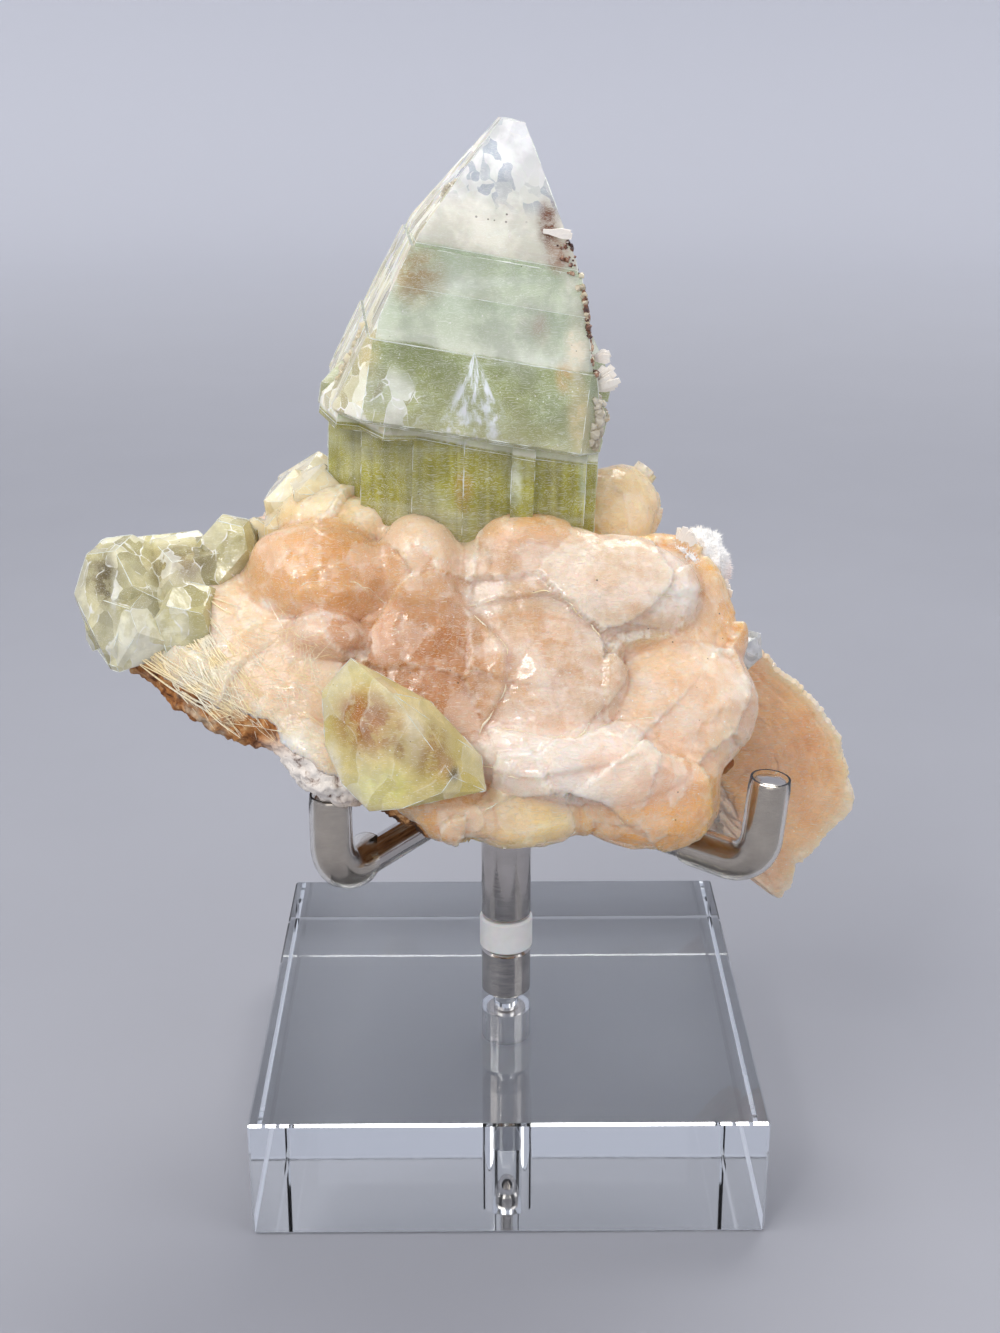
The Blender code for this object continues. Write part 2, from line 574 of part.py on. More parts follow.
def whole_stone():
    """All lumps made one closed surface, with small bumps, fine on the crust and faint on the stilbite."""
    bm = bmesh.new()
    for front, size, turn in LOBES.values():
        piece = lump(front, size, turn)
        mesh = bpy.data.meshes.new("lump")
        piece.to_mesh(mesh)
        piece.free()
        bm.from_mesh(mesh)
        bpy.data.meshes.remove(mesh)
    bulk = hull(CORE, 0.0)
    mesh = bpy.data.meshes.new("bulk")
    bulk.to_mesh(mesh)
    bulk.free()
    bm.from_mesh(mesh)
    bpy.data.meshes.remove(mesh)
    stone = add_object("stone", bm, None, CUTTERS)
    skin = stone.modifiers.new("skin", "REMESH")
    skin.mode = "VOXEL"
    skin.voxel_size = VOXEL
    skin.adaptivity = 0.0
    applied(stone)
    bm = bmesh.new()
    bm.from_mesh(stone.data)
    bm.normal_update()
    for vert in bm.verts:
        place = vert.co / MM
        crust = min(1.0, max(0.0, (parting_height(place.x, place.y) + 1.0 - place.z) / 2.0))
        rough = noise.noise(place * 0.35) + 0.6 * noise.noise(place * 0.8)
        soft = noise.noise(place * 0.16)
        vert.co += vert.normal * (crust * rough * 1.3 + (1 - crust) * soft * 0.6) * MM
    bm.to_mesh(stone.data)
    bm.free()
    fewer = stone.modifiers.new("fewer", "DECIMATE")
    fewer.ratio = STONE_FACES / (2 * len(stone.data.polygons))
    applied(stone)
    return stone


def stone_and_matrix(sockets):
    stone = whole_stone()
    above = parting_block("above", GAP / MM, 170.0)
    below = parting_block("below", 0.0, 20.0)
    planes = [(facing(turn, 0), SEAT_HALF) for turn in (0, 90, 180, 270)]
    planes += [(Vector((0, 0, 1)), SEAT_HEIGHT), (Vector((0, 0, -1)), 0.0)]
    seat = add_object("seat_cut", block(planes, Matrix.Identity(4)), None, CUTTERS)
    for name, side, finish in (("stilbite_mass", above, STILBITE), ("matrix", below, MATRIX)):
        half = bpy.data.objects.new(name, stone.data.copy())
        PARTS.objects.link(half)
        half.data.materials.clear()
        half.data.materials.append(finish)
        combine(half, side, "INTERSECT")
        applied(half)
        combine(half, seat, "DIFFERENCE")
        applied(half)
        for socket in sockets:
            combine(half, socket, "DIFFERENCE")
            applied(half)
        keep_largest(half)
    bpy.data.objects.remove(stone, do_unlink=True)


def keep_largest(obj):
    """Drops crumbs that the parting leaves."""
    bm = bmesh.new()
    bm.from_mesh(obj.data)
    todo = set(bm.verts)
    islands = []
    while todo:
        island = set()
        front = [todo.pop()]
        while front:
            vert = front.pop()
            island.add(vert)
            for edge in vert.link_edges:
                other = edge.other_vert(vert)
                if other in todo:
                    todo.discard(other)
                    front.append(other)
        islands.append(island)
    islands.sort(key=len)
    crumbs = [vert for island in islands[:-1] for vert in island]
    bmesh.ops.delete(bm, geom=crumbs, context="VERTS")
    bm.to_mesh(obj.data)
    bm.free()


FAN_MIDDLE = (30.0, -5.0, 62.0)
FAN_THICKNESS = 4.2
FAN_RINGS = 5
# The fan's rays: degrees above level, and how far out the rim is, in mm.
FAN_RAYS = (
    (-74, 18.0), (-68, 22.5), (-62, 28.4), (-56, 28.0), (-50, 25.0), (-42, 25.6), (-34, 25.2),
    (-26, 26.6), (-19, 26.4), (-12, 24.2), (-2, 22.6), (8, 21.4), (18, 20.2), (30, 19.0),
    (42, 18.2), (54, 18.4), (66, 18.8))


def fan_blade(name, grow, size, yaw, back):
    """One concave blade: rings about a hidden middle, with a ragged rim."""
    bm = bmesh.new()
    rows = []
    for turn, (degrees, reach) in enumerate(FAN_RAYS):
        angle = math.radians(degrees + grow * (turn - len(FAN_RAYS) / 2) * 0.2)
        row = []
        for i in range(FAN_RINGS):
            share = 0.22 + 0.78 * i / (FAN_RINGS - 1)
            rim = (0.8 * noise.noise(Vector((degrees * 0.3, back, 0))) + grow * 1.5) * (i == FAN_RINGS - 1)
            radius = reach * share * size + rim - grow * 1.5 * (i == 0)
            dish = 5.0 - 3.5 * share * share + 0.35 * math.sin(share * 9)
            out = math.cos(angle) * radius
            spot = Vector((out, dish + 0.10 * out, math.sin(angle) * radius))
            spot.rotate(Matrix.Rotation(math.radians(yaw), 3, "Z"))
            row.append(bm.verts.new((Vector(FAN_MIDDLE) + spot + Vector((0, back, 0))) * MM))
        rows.append(row)
    for first, second in zip(rows, rows[1:]):
        for i in range(FAN_RINGS - 1):
            bm.faces.new((first[i], first[i + 1], second[i + 1], second[i]))
    blade = add_object(name, bm, STILBITE, CUTTERS)
    thick = blade.modifiers.new("thick", "SOLIDIFY")
    thick.thickness = (FAN_THICKNESS + 2 * grow) * MM
    thick.offset = 0.0
    return applied(blade)


def fan_piece(name, grow, folder=PARTS):
    """Two blades grown together: the large one that shows behind the right prong, and one behind it."""
    pieces = []
    for i, (size, yaw, back) in enumerate(((1.0, 0.0, 0.0), (0.82, 24.0, 3.0))):
        blade = fan_blade(f"{name}_blade_{i}", grow, size, yaw, back)
        bm = bmesh.new()
        bm.from_mesh(blade.data)
        bpy.data.objects.remove(blade, do_unlink=True)
        pieces.append(bm)
    return smooth(joined(name, pieces, STILBITE, folder), 50)


TUFT_MIDDLE = Vector((28.0, -6.0, 94.8))


def tuft_piece(name, grow, folder=PARTS):
    """The white fuzzy lump at the upper right."""
    bm = bmesh.new()
    bmesh.ops.create_icosphere(bm, subdivisions=3, radius=1.0)
    for vert in bm.verts:
        bumps = 1.0 + 0.22 * noise.noise(vert.co * 2.6)
        round_form = Vector((vert.co.x * 4.4, vert.co.y * 4.6, vert.co.z * 5.4)) * bumps
        vert.co = (TUFT_MIDDLE + round_form + vert.co * grow) * MM
    return smooth(add_object(name, bm, WHITE_TUFT, folder), 60)


def specimen():
    sockets = []
    for name, piece in (("stilbite_fan", fan_piece), ("white_tuft", tuft_piece)):
        piece(name, 0.0)
        sockets.append(piece(name + "_socket", GAP / MM, CUTTERS))
    for name, pieces, finish in (
        ("apophyllite_main", main_pieces, GREEN_GLASS),
        ("apophyllite_left", left_pieces, GREEN_GLASS),
        ("apophyllite_front", front_pieces, YELLOW_GLASS),
        ("apophyllite_shoulder", shoulder_pieces, CREAM_GLASS),
        ("apophyllite_chip", chip_pieces, GREEN_GLASS),
    ):
        crystal = joined(name, pieces(0.0), finish)
        for socket in sockets:
            combine(crystal, socket, "DIFFERENCE", "MANIFOLD")
        applied(crystal)
        sockets.append(joined(name + "_socket", pieces(GAP / MM), None, CUTTERS))
    stone_and_matrix(sockets + [arm_room(name) for name in ARMS])


def centre_all():
    """Moves everything so that the origin lies under the middle of the box."""
    bpy.context.view_layer.update()
    corners = [obj.matrix_world @ Vector(corner) for obj in PARTS.objects for corner in obj.bound_box]
    low = Vector([min(corner[i] for corner in corners) for i in range(3)])
    high = Vector([max(corner[i] for corner in corners) for i in range(3)])
    shift = Vector((-(low.x + high.x) / 2, -(low.y + high.y) / 2, -low.z))
    for obj in PARTS.objects:
        obj.location += shift


acrylic_base()
base_screw()
posts()
arm_hub()
for arm_name in ARMS:
    arm(arm_name)
specimen()
centre_all()
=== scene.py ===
"""The looks of an apophyllite cluster on its small display stand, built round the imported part.

Places are in millimetres from the stand's axis and from the underside, X to the right, Y away and Z up.
A piece is modelled in those and moved into the part's frame at the end of its making.
"""

import math
import random

import bmesh
import bpy
import numpy as np
from mathutils import Matrix, Vector, noise
from mathutils.bvhtree import BVHTree


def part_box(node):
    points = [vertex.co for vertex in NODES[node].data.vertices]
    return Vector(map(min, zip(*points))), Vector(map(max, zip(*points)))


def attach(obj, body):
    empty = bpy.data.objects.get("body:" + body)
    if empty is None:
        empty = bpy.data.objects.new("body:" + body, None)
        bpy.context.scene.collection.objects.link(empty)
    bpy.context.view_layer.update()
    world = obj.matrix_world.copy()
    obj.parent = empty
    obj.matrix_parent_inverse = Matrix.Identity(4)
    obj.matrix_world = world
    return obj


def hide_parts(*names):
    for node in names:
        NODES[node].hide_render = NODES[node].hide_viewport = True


MM = 0.001
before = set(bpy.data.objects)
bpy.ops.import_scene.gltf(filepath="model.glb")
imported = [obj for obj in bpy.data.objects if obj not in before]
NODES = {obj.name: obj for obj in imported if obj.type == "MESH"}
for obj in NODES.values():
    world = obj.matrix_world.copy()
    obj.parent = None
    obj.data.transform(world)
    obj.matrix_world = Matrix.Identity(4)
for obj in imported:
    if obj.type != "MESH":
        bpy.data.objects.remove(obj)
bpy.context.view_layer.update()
BASE_LOW, BASE_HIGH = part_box("acrylic_base")
AXIS = Vector(((BASE_LOW.x + BASE_HIGH.x) / 2, (BASE_LOW.y + BASE_HIGH.y) / 2, 0.0))
TO_FRAME = Matrix.Translation(AXIS) @ Matrix.Scale(MM, 4)
FROM_FRAME = TO_FRAME.inverted()
# noise_vector starts from the clock unless it has a seed.
NOISE_SEED = 4
noise.seed_set(NOISE_SEED)

# The camera of the photograph
CAMERA_PLACE = (-3.3, -264.9, 177.1)
CAMERA_DOWN = 20.93
CAMERA_TURN = -0.5
CAMERA_LENS = 49.85

# The stand
BASE_SIDE = 76.2
BASE_HEIGHT = 19.05
BASE_CHAMFER = 0.35
COUNTERBORE_RADIUS = 4.0
COUNTERBORE_DEPTH = 12.0
SCREW_HEAD_RADIUS = 3.2
SCREW_HEAD_HEIGHT = 2.5
SCREW_SHANK_RADIUS = 1.7
SCREW_REACH = 5.0
STAND_GAP = 0.3
# The least radius of a turned profile
NEAR_AXIS = 0.001
POST_RADIUS = 3.97
RING_RADIUS = 4.25
RING_LOW = 27.5
RING_HIGH = 33.0
HUB_LOW = 52.5
ARM_HEIGHT = 56.7
ROD_RADIUS = 2.38
SLEEVE_RADIUS = 3.0
ROD_SIDES = 36
BEND_RADIUS = 5.5
# Each arm: its start in the hub, the corner that it bends round, its prong's tip and its sleeve's start
ARMS = {
    "left": ((-4.2, -4.2), (-24.7, -33.6), (-24.7, -33.6, 69.6), (-20.3, -24.2)),
    "right": ((4.6, -4.0), (35.3, -30.6), (36.4, -30.9, 70.6), (26.2, -22.7)),
    "back": ((0.4, 6.0), (2.2, 30.2), (2.4, 31.2, 71.5), (1.6, 19.5)),
}

# How far the crystals' edges are rounded in their looks
EDGE_ROUNDING = 0.2
# The specimen, with the main crystal's axis and the height at which its prism ends
MAIN_AXIS = Vector((7.6, 1.0, 41.3)).normalized()
MAIN_MIDDLE = Vector((-7.0, -1.0, 115.0))
STONE_VOXEL = 0.45
STONE_SMOOTHING = 84
LOBE_SQUARENESS = 2.35
# Each lobe: its outermost point, its half width, half height and half thickness, where it faces (degrees to
# the right of the front, degrees above level, turn), its colour, and its share of pearly tone and painted
# sheen.
LOBES = {
    "left peach": ((-27.3, -24.0, 100.0), (10.4, 6.8, 6.5), (-6, 30, 4), (220, 160, 82), 0.1),
    "small centre": ((-11.6, -24.5, 99.6), (5.8, 8.2, 6.0), (8, 25, -8), (228, 188, 138), 0.1),
    "tan shoulder": ((-25.2, -14.5, 105.8), (9.4, 5.2, 7.0), (-10, 40, -4), (252, 222, 164), 0.1),
    "wedge": ((4.6, -19.0, 104.2), (9.2, 3.6, 6.0), (0, 45, 4), (255, 210, 146), 0.2),
    "tan right": ((17.6, -6.0, 105.0), (7.2, 7.0, 7.0), (20, 35, 0), (246, 216, 160), 0.1),
    "slab top": ((9.0, -24.0, 97.0), (18.4, 8.4, 5.0), (2, 30, -1), (202, 182, 154), 0.7),
    "slab right": ((24.0, -20.5, 91.5), (10.5, 12.0, 4.6), (18, 28, -24), (255, 190, 84), 0.1),
    "cheek": ((-11.8, -31.0, 86.0), (10.4, 13.0, 6.0), (-4, 26, 0), (170, 104, 28), 0.15),
    "plate": ((4.0, -30.0, 87.2), (11.6, 10.4, 4.5), (0, 28, 0), (214, 176, 138), 0.6),
    "right lobe": ((25.4, -29.0, 79.0), (12.6, 11.0, 8.0), (18, 18, -24), (252, 220, 184), 0.6),
    "ridge": ((8.0, -36.0, 76.0), (16.0, 5.4, 5.0), (0, 22, 8), (246, 224, 208), 0.9),
    "lower lobe": ((20.4, -35.4, 68.4), (11.2, 9.0, 8.0), (8, 6, 4), (255, 180, 84), 0.1),
    "lower left": ((1.6, -36.0, 66.6), (9.4, 6.0, 7.0), (0, 4, -4), (255, 214, 112), 0.1),
    "left body": ((-38.6, -26.5, 88.4), (16.5, 10.5, 5.5), (-14, 38, 24), (252, 222, 180), 0.3),
    "front foot": ((-10.8, -38.6, 68.2), (9.6, 4.4, 6.0), (-6, -2, 20), (236, 182, 114), 0.1),
    "lens": ((-25.4, -29.8, 92.6), (5.4, 2.8, 4.0), (-4, 30, 0), (206, 156, 120), 0.0),
    "rim left": ((-54.0, -22.5, 86.2), (8.0, 3.4, 7.0), (-30, 10, 20), (242, 216, 160), 0.1),
    "rim end": ((-57.5, -18.0, 87.6), (4.5, 3.0, 6.0), (-50, 10, 16), (230, 202, 146), 0.1),
    "rim middle": ((-39.0, -28.0, 80.6), (9.0, 3.6, 7.0), (-20, 10, 28), (255, 230, 196), 0.3),
    "rim front": ((-26.6, -38.4, 75.0), (8.0, 4.4, 6.0), (-14, 6, 36), (252, 226, 192), 0.3),
    "back left": ((-32.0, 19.0, 93.0), (18.0, 9.0, 12.0), (190, 20, 10), (226, 178, 140), 0.3),
    "back middle": ((2.0, 27.0, 84.0), (22.0, 15.0, 14.0), (178, 14, 0), (228, 184, 148), 0.4),
    "back right": ((22.0, 18.0, 80.0), (13.0, 13.0, 12.0), (155, 12, 0), (222, 168, 124), 0.2),
    "crown": ((-4.0, 4.0, 101.5), (16.0, 8.0, 8.0), (180, 70, 0), (220, 182, 140), 0.2),
    "back ledge left": ((-24.0, 17.0, 100.5), (10.0, 6.0, 8.0), (205, 42, 12), (230, 188, 152), 0.4),
    "back ledge middle": ((-3.0, 21.0, 98.0), (10.5, 6.4, 8.0), (182, 36, -6), (234, 198, 168), 0.6),
    "back ledge right": ((15.0, 17.5, 97.0), (9.0, 7.0, 8.0), (160, 38, 8), (226, 180, 140), 0.2),
    "seat": ((2.0, -2.0, 60.4), (20.0, 16.0, 10.0), (0, -90, 0), (210, 160, 118), 0.0),
}
# Crisp edges where one sheet of the stilbite ends over the next. Each one's places run with the raised sheet
# on their left as seen from outside; then how high it stands and how far back it slopes away.
LEDGES = (
    (((-4.3, -32.8, 78.3), (-0.7, -30.8, 84.1), (-0.3, -28.7, 89.2), (-2.6, -26.6, 91.5),
      (-7.4, -23.0, 94.5)), 1.3, 6.0),
    (((9.3, -34.3, 78.6), (12.9, -30.0, 81.7), (15.5, -26.9, 85.0), (13.6, -27.0, 88.5),
      (11.2, -25.6, 92.0)), 1.2, 7.0),
    (((-6.4, -23.9, 93.5), (-1.2, -24.3, 95.0), (5.0, -24.5, 96.1), (9.0, -25.0, 94.7), (10.4, -25.5, 92.4)),
     0.9, 4.0),
    (((19.8, -23.7, 95.5), (22.6, -22.9, 94.8), (27.9, -17.5, 94.0)), 0.6, 3.0),
    (((-4.3, -33.8, 74.7), (1.4, -35.4, 74.2), (6.8, -36.2, 74.4), (13.6, -35.8, 75.3), (21.0, -33.3, 76.4)),
     0.8, 4.0),
    (((20.9, -29.5, 79.4), (15.4, -29.6, 78.6), (8.9, -34.9, 78.1), (2.8, -34.0, 78.6), (-2.6, -32.2, 79.4)),
     0.7, 3.0),
    (((-3.4, -36.3, 68.4), (0.8, -35.0, 70.5), (6.2, -36.1, 72.4), (12.3, -36.0, 70.6), (17.4, -35.4, 65.0)),
     1.3, 5.0),
    (((-17.0, -22.5, 93.4), (-19.4, -23.6, 96.4), (-23.8, -24.8, 98.0), (-27.9, -24.7, 97.2),
      (-30.7, -24.0, 94.9)), 0.5, 3.0),
    (((27.0, -28.0, 72.0), (31.5, -27.0, 76.0), (33.5, -22.5, 81.0), (31.0, -19.0, 86.5)), 0.6, 4.0),
)
# Scooped hollows with ridges between them: how many mm across, and how deep
SCOOPS = ((6.0, 0.35), (2.6, 0.14), (1.1, 0.06))
# Flat sheets that overlap like shingles: how many mm across, and how steeply they tilt
SHEETS = ((12.0, 0.10), (4.2, 0.045))
# The bulk behind the lobes: its corners, down the front and then round the back.
CORE = (
    (-7.0, -19.5, 100.5), (20.0, -13.0, 98.5), (32.0, -16.0, 79.0), (28.0, -24.5, 66.0), (20.0, -28.0, 62.5),
    (-3.0, -30.5, 63.0), (-19.0, -34.0, 73.0), (-31.0, -28.5, 79.5), (-55.0, -17.0, 88.0),
    (-50.0, -12.0, 97.0),
    (-30.0, -16.0, 100.0), (-44.0, 8.0, 93.0), (-22.0, 20.0, 97.0), (16.0, 19.0, 96.0), (25.0, 4.0, 93.0),
    (26.0, 18.0, 70.0), (0.0, 23.0, 67.0), (-28.0, 17.0, 80.0), (12.0, 2.0, 60.5), (-10.0, 0.0, 60.5))
# How high the stilbite ends over the matrix along the front and along the back, at these places across.
PARTING_ACROSS = (-70, -48, -33, -22, -15, -6, 10, 60)
PARTING_FRONT = (90, 82.8, 79.4, 73.2, 69, 61, 52, 45)
PARTING_BACK = (94, 94, 93, 92, 91, 90, 89, 82)
PARTING_FRONT_Y = -38.0
PARTING_BACK_Y = 24.0
# The sheet that parts the stone: how wide and deep it is, and how far up and down the two halves reach
PARTING_WIDE, PARTING_DEEP = 160.0, 110.0
PARTING_TOP, PARTING_BOTTOM = 170.0, 20.0


def rgb(red, green, blue):
    """A colour from 0 to 255 as a screen has it, made linear."""
    return tuple(((part / 255 + 0.055) / 1.055) ** 2.4 for part in (red, green, blue))


class Look:
    """A Principled material whose nodes are added one call at a time. Its places are in mm."""

    def __init__(self, name, values):
        self.material = bpy.data.materials.new(name)
        self.material.use_nodes = True
        self.tree = self.material.node_tree
        self.shader = self.tree.nodes["Principled BSDF"]
        place = self.node("TexCoord").outputs["Object"]
        move = self.node("Mapping", Vector=place)
        move.inputs["Location"].default_value = -AXIS / MM
        move.inputs["Scale"].default_value = (1 / MM,) * 3
        self.mm = move.outputs["Vector"]
        for socket, value in values.items():
            self.set(socket, value)

    def node(self, kind, settings=None, **feeds):
        made = self.tree.nodes.new("ShaderNode" + kind)
        for name, value in (settings or {}).items():
            setattr(made, name, value)
        for name, value in feeds.items():
            self.feed(made.inputs[name.replace("_", " ")], value)
        return made

    def feed(self, target, value):
        if isinstance(value, bpy.types.NodeSocket):
            self.tree.links.new(value, target)
        elif target.type == "RGBA" and len(value) == 3:
            target.default_value = (*value, 1.0)
        else:
            target.default_value = value

    def set(self, socket, value):
        self.feed(self.shader.inputs[socket], value)

    def stretched(self, scale, turn=(0, 0, 0), vector=None):
        made = self.node("Mapping", Vector=vector or self.mm)
        made.inputs["Scale"].default_value = scale
        made.inputs["Rotation"].default_value = [math.radians(part) for part in turn]
        return made.outputs["Vector"]

    def noise(self, scale, detail=3.0, rough=0.5, vector=None, distort=0.0):
        made = self.node("TexNoise", Vector=vector or self.mm, Scale=scale, Detail=detail, Roughness=rough,
                         Distortion=distort)
        return made.outputs["Fac"]

    def warp(self, scale):
        """Three slow noises in one, to bend places with."""
        return self.node("TexNoise", Vector=self.mm, Scale=scale, Detail=1.0).outputs["Color"]

    def cells(self, scale, vector=None, feature="F1", output="Distance"):
        made = self.node("TexVoronoi", {"feature": feature}, Vector=vector or self.mm, Scale=scale)
        return made.outputs[output]

    def ramp(self, value, *stops):
        """A value turned into a colour, by (place, colour) stops."""
        made = self.node("ValToRGB", Fac=value)
        steps = made.color_ramp.elements
        for place, colour in stops[2:]:
            steps.new(place)
        for step, (place, colour) in zip(steps, sorted(stops, key=lambda stop: stop[0])):
            step.position = place
            step.color = (*colour, 1.0)
        return made.outputs["Color"]

    def fit(self, value, low, high, to_low=0.0, to_high=1.0):
        made = self.node("MapRange", {"interpolation_type": "SMOOTHSTEP"}, Value=value)
        for name, number in zip(("From Min", "From Max", "To Min", "To Max"), (low, high, to_low, to_high)):
            made.inputs[name].default_value = number
        return made.outputs["Result"]

    def math(self, operation, first, second=0.0):
        made = self.node("Math", {"operation": operation})
        self.feed(made.inputs[0], first)
        self.feed(made.inputs[1], second)
        return made.outputs["Value"]

    def times(self, product, *others):
        for other in others:
            product = self.math("MULTIPLY", product, other)
        return product

    def mix(self, share, first, second):
        made = self.node("Mix", {"data_type": "RGBA"})
        self.feed(made.inputs[0], share)
        self.feed(made.inputs[6], first)
        self.feed(made.inputs[7], second)
        return made.outputs[2]

    def over(self, colour, *layers):
        """Tones laid over a colour, each (tone, share, share ...), whose shares are multiplied."""
        for tone, *shares in layers:
            colour = self.mix(self.times(*shares), colour, rgb(*tone))
        return colour

    def vector(self, operation, first, second=(0.0, 0.0, 0.0)):
        made = self.node("VectorMath", {"operation": operation})
        self.feed(made.inputs[0], first)
        self.feed(made.inputs[1], second)
        return made.outputs["Value" if operation in ("LENGTH", "DOT_PRODUCT") else "Vector"]

    def attribute(self, name, output="Color"):
        return self.node("Attribute", {"attribute_name": name}).outputs[output]

    def spot(self, place, size, soft=0.5):
        """1 near a place, in mm, and 0 away from it: size is the reach along each axis."""
        away = self.vector("DIVIDE", self.vector("SUBTRACT", self.mm, place), size)
        return self.fit(self.vector("LENGTH", away), 1.0, soft)

    def hairs(self, length, width, turns, low=0.62, high=0.70):
        """Fine hair-like lines that lie in several directions, each (x, y, z) turned in degrees."""
        found = None
        bent = self.vector("ADD", self.mm, self.warp(0.5))
        for i, turn in enumerate(turns):
            run = self.stretched((1 / length, 1 / width, 1 / width), turn, bent)
            lines = self.fit(self.noise(1.0 + 0.13 * i, 1.0, vector=run), low, high)
            found = lines if found is None else self.math("MAXIMUM", found, lines)
        return found

    def part(self, vector, axis):
        return self.node("SeparateXYZ", Vector=vector).outputs[axis]

    def jumble(self, size, line, vector):
        """Flat facets in a jumble: three random numbers for each, and a thin line where two meet."""
        bend = self.vector("MULTIPLY", self.warp(0.7 / size), (size * 1.3,) * 3)
        place = self.vector("ADD", vector, bend)
        tone = self.cells(1 / size, place, output="Color")
        return tone, self.fit(self.cells(1 / size, place, "DISTANCE_TO_EDGE"), line, line * 0.4)

    def tilted(self, tone, share, towards=(0.5, 0.5, 0.5), normal=None):
        """The surface's normal turned a little, another way on each facet."""
        if normal is None:
            normal = self.node("Bevel", {"samples": 4}, Radius=EDGE_ROUNDING * MM).outputs["Normal"]
        spread = self.vector("SUBTRACT", tone, towards)
        amount = self.node("CombineXYZ", X=share, Y=share, Z=share).outputs["Vector"]
        turn = self.vector("MULTIPLY", spread, amount)
        return self.vector("NORMALIZE", self.vector("ADD", normal, turn))

    def streaked_fan(self, apex, reach, half_angle):
        """Streaks that spread downwards from a point."""
        away = self.vector("SUBTRACT", self.mm, apex)
        far = self.vector("LENGTH", away)
        angle = self.math("ARCTAN2", self.part(away, "X"), self.times(self.part(away, "Z"), -1.0))
        spread = self.node("CombineXYZ", X=self.times(angle, 6.0), Y=self.times(far, 0.3))
        streaks = self.fit(self.noise(1.0, 4.0, 0.6, vector=spread.outputs["Vector"]), 0.42, 0.60, 0.12, 1.0)
        ragged = self.times(far, self.fit(self.noise(0.9, 2.0), 0.3, 0.7, 0.8, 1.25))
        inside = self.fit(self.math("ABSOLUTE", angle), half_angle, half_angle * 0.6)
        inside = self.times(inside, self.fit(ragged, reach, reach * 0.6))
        return self.times(inside, streaks)

    def dots(self, scale, radius, mask_scale=0.12):
        """Small round spots, thicker in some places than in others."""
        near = self.fit(self.cells(scale), radius, radius * 0.55)
        return self.times(near, self.fit(self.noise(mask_scale, 2.0), 0.42, 0.58))

    def patched(self, colour, wisps, patches):
        """Stains and painted light over a colour, each (place, size, colour, share), broken up by wisps."""
        broken = self.math("MAXIMUM", self.fit(self.noise(0.5, 4.0, 0.6), 0.40, 0.54, 0.4, 1.0), wisps)
        for place, size, tone, share in patches:
            colour = self.over(colour, (tone, self.spot(place, size, 0.2), broken, share))
        return colour

    def height_along(self, axis, middle):
        """How far along an axis, in mm from its middle."""
        return self.math("SUBTRACT", self.vector("DOT_PRODUCT", self.mm, axis), axis.dot(middle))

    def bumps(self, *layers, normal=None):
        """Bump layers of (height, distance in mm, strength), each over the one before."""
        for height, distance, strength in layers:
            made = self.node("Bump", Height=height, Distance=distance * MM, Strength=strength)
            if normal is not None:
                self.feed(made.inputs["Normal"], normal)
            normal = made.outputs["Normal"]
        self.set("Normal", normal)

    def absorb(self, colour, density):
        volume = self.node("VolumeAbsorption", Color=colour, Density=density)
        output = self.tree.nodes["Material Output"]
        self.tree.links.new(volume.outputs["Volume"], output.inputs["Volume"])


# Meshes


def linked(name, data):
    made = bpy.data.objects.new(name, data)
    bpy.context.scene.collection.objects.link(made)
    return made


def mesh_from(name, bm):
    mesh = bpy.data.meshes.new(name)
    bm.to_mesh(mesh)
    bm.free()
    return mesh


def shade(mesh, angle):
    """Smooth faces that meet sharply from an angle in degrees on."""
    mesh.shade_smooth()
    mesh.set_sharp_from_angle(angle=math.radians(angle))


def link_mesh(name, mesh, look, stands_for=()):
    """A piece from a mesh in mm about the stand's axis, carried by the one body."""
    mesh.transform(TO_FRAME)
    made = linked(name, mesh)
    mesh.materials.clear()
    mesh.materials.append(look.material)
    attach(made, "root")
    if stands_for:
        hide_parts(*stands_for)


def piece(name, bm, look, stands_for=(), smooth=None):
    mesh = mesh_from(name, bm)
    if smooth is not None:
        shade(mesh, smooth)
    link_mesh(name, mesh, look, stands_for)


def loose_object(name, bm):
    return linked(name, mesh_from(name, bm))


def evaluated_mesh(obj):
    bpy.context.view_layer.update()
    graph = bpy.context.evaluated_depsgraph_get()
    return bpy.data.meshes.new_from_object(obj.evaluated_get(graph))


def drop(obj):
    bpy.data.objects.remove(obj, do_unlink=True)


def cut_mesh(body, other, operation, solver):
    """What a boolean of two objects leaves. Both objects go."""
    cut = body.modifiers.new("cut", "BOOLEAN")
    cut.operation = operation
    cut.solver = solver
    cut.object = other
    mesh = evaluated_mesh(body)
    drop(other)
    drop(body)
    return mesh


def tree_of(mesh):
    return BVHTree.FromPolygons([vert.co for vert in mesh.vertices],
                                [tuple(face.vertices) for face in mesh.polygons])


def node_bmesh(node):
    """A CAD node's mesh, in mm about the stand's axis."""
    bm = bmesh.new()
    bm.from_mesh(NODES[node].data)
    bmesh.ops.transform(bm, matrix=FROM_FRAME, verts=bm.verts)
    return bm


def finish_node(node, look):
    """A look for a CAD node that keeps its solid."""
    NODES[node].data.materials.clear()
    NODES[node].data.materials.append(look.material)


def points_of(mesh):
    places = np.empty(len(mesh.vertices) * 3)
    mesh.vertices.foreach_get("co", places)
    return places.reshape(-1, 3)


def normals_of(mesh):
    ways = np.empty(len(mesh.vertices) * 3, np.float32)
    mesh.vertex_normals.foreach_get("vector", ways)
    return ways.reshape(-1, 3).astype(float)


def field(places, scale):
    """Noise from -1 to 1 at each place."""
    return np.array([noise.noise(Vector(place)) for place in places * scale])


def bridge(bm, here, there, around=True):
    """Faces between two rows of vertices, round to the first ones again or not."""
    for j in range(len(here) if around else len(here) - 1):
        k = (j + 1) % len(here)
        bm.faces.new((here[j], here[k], there[k], there[j]))


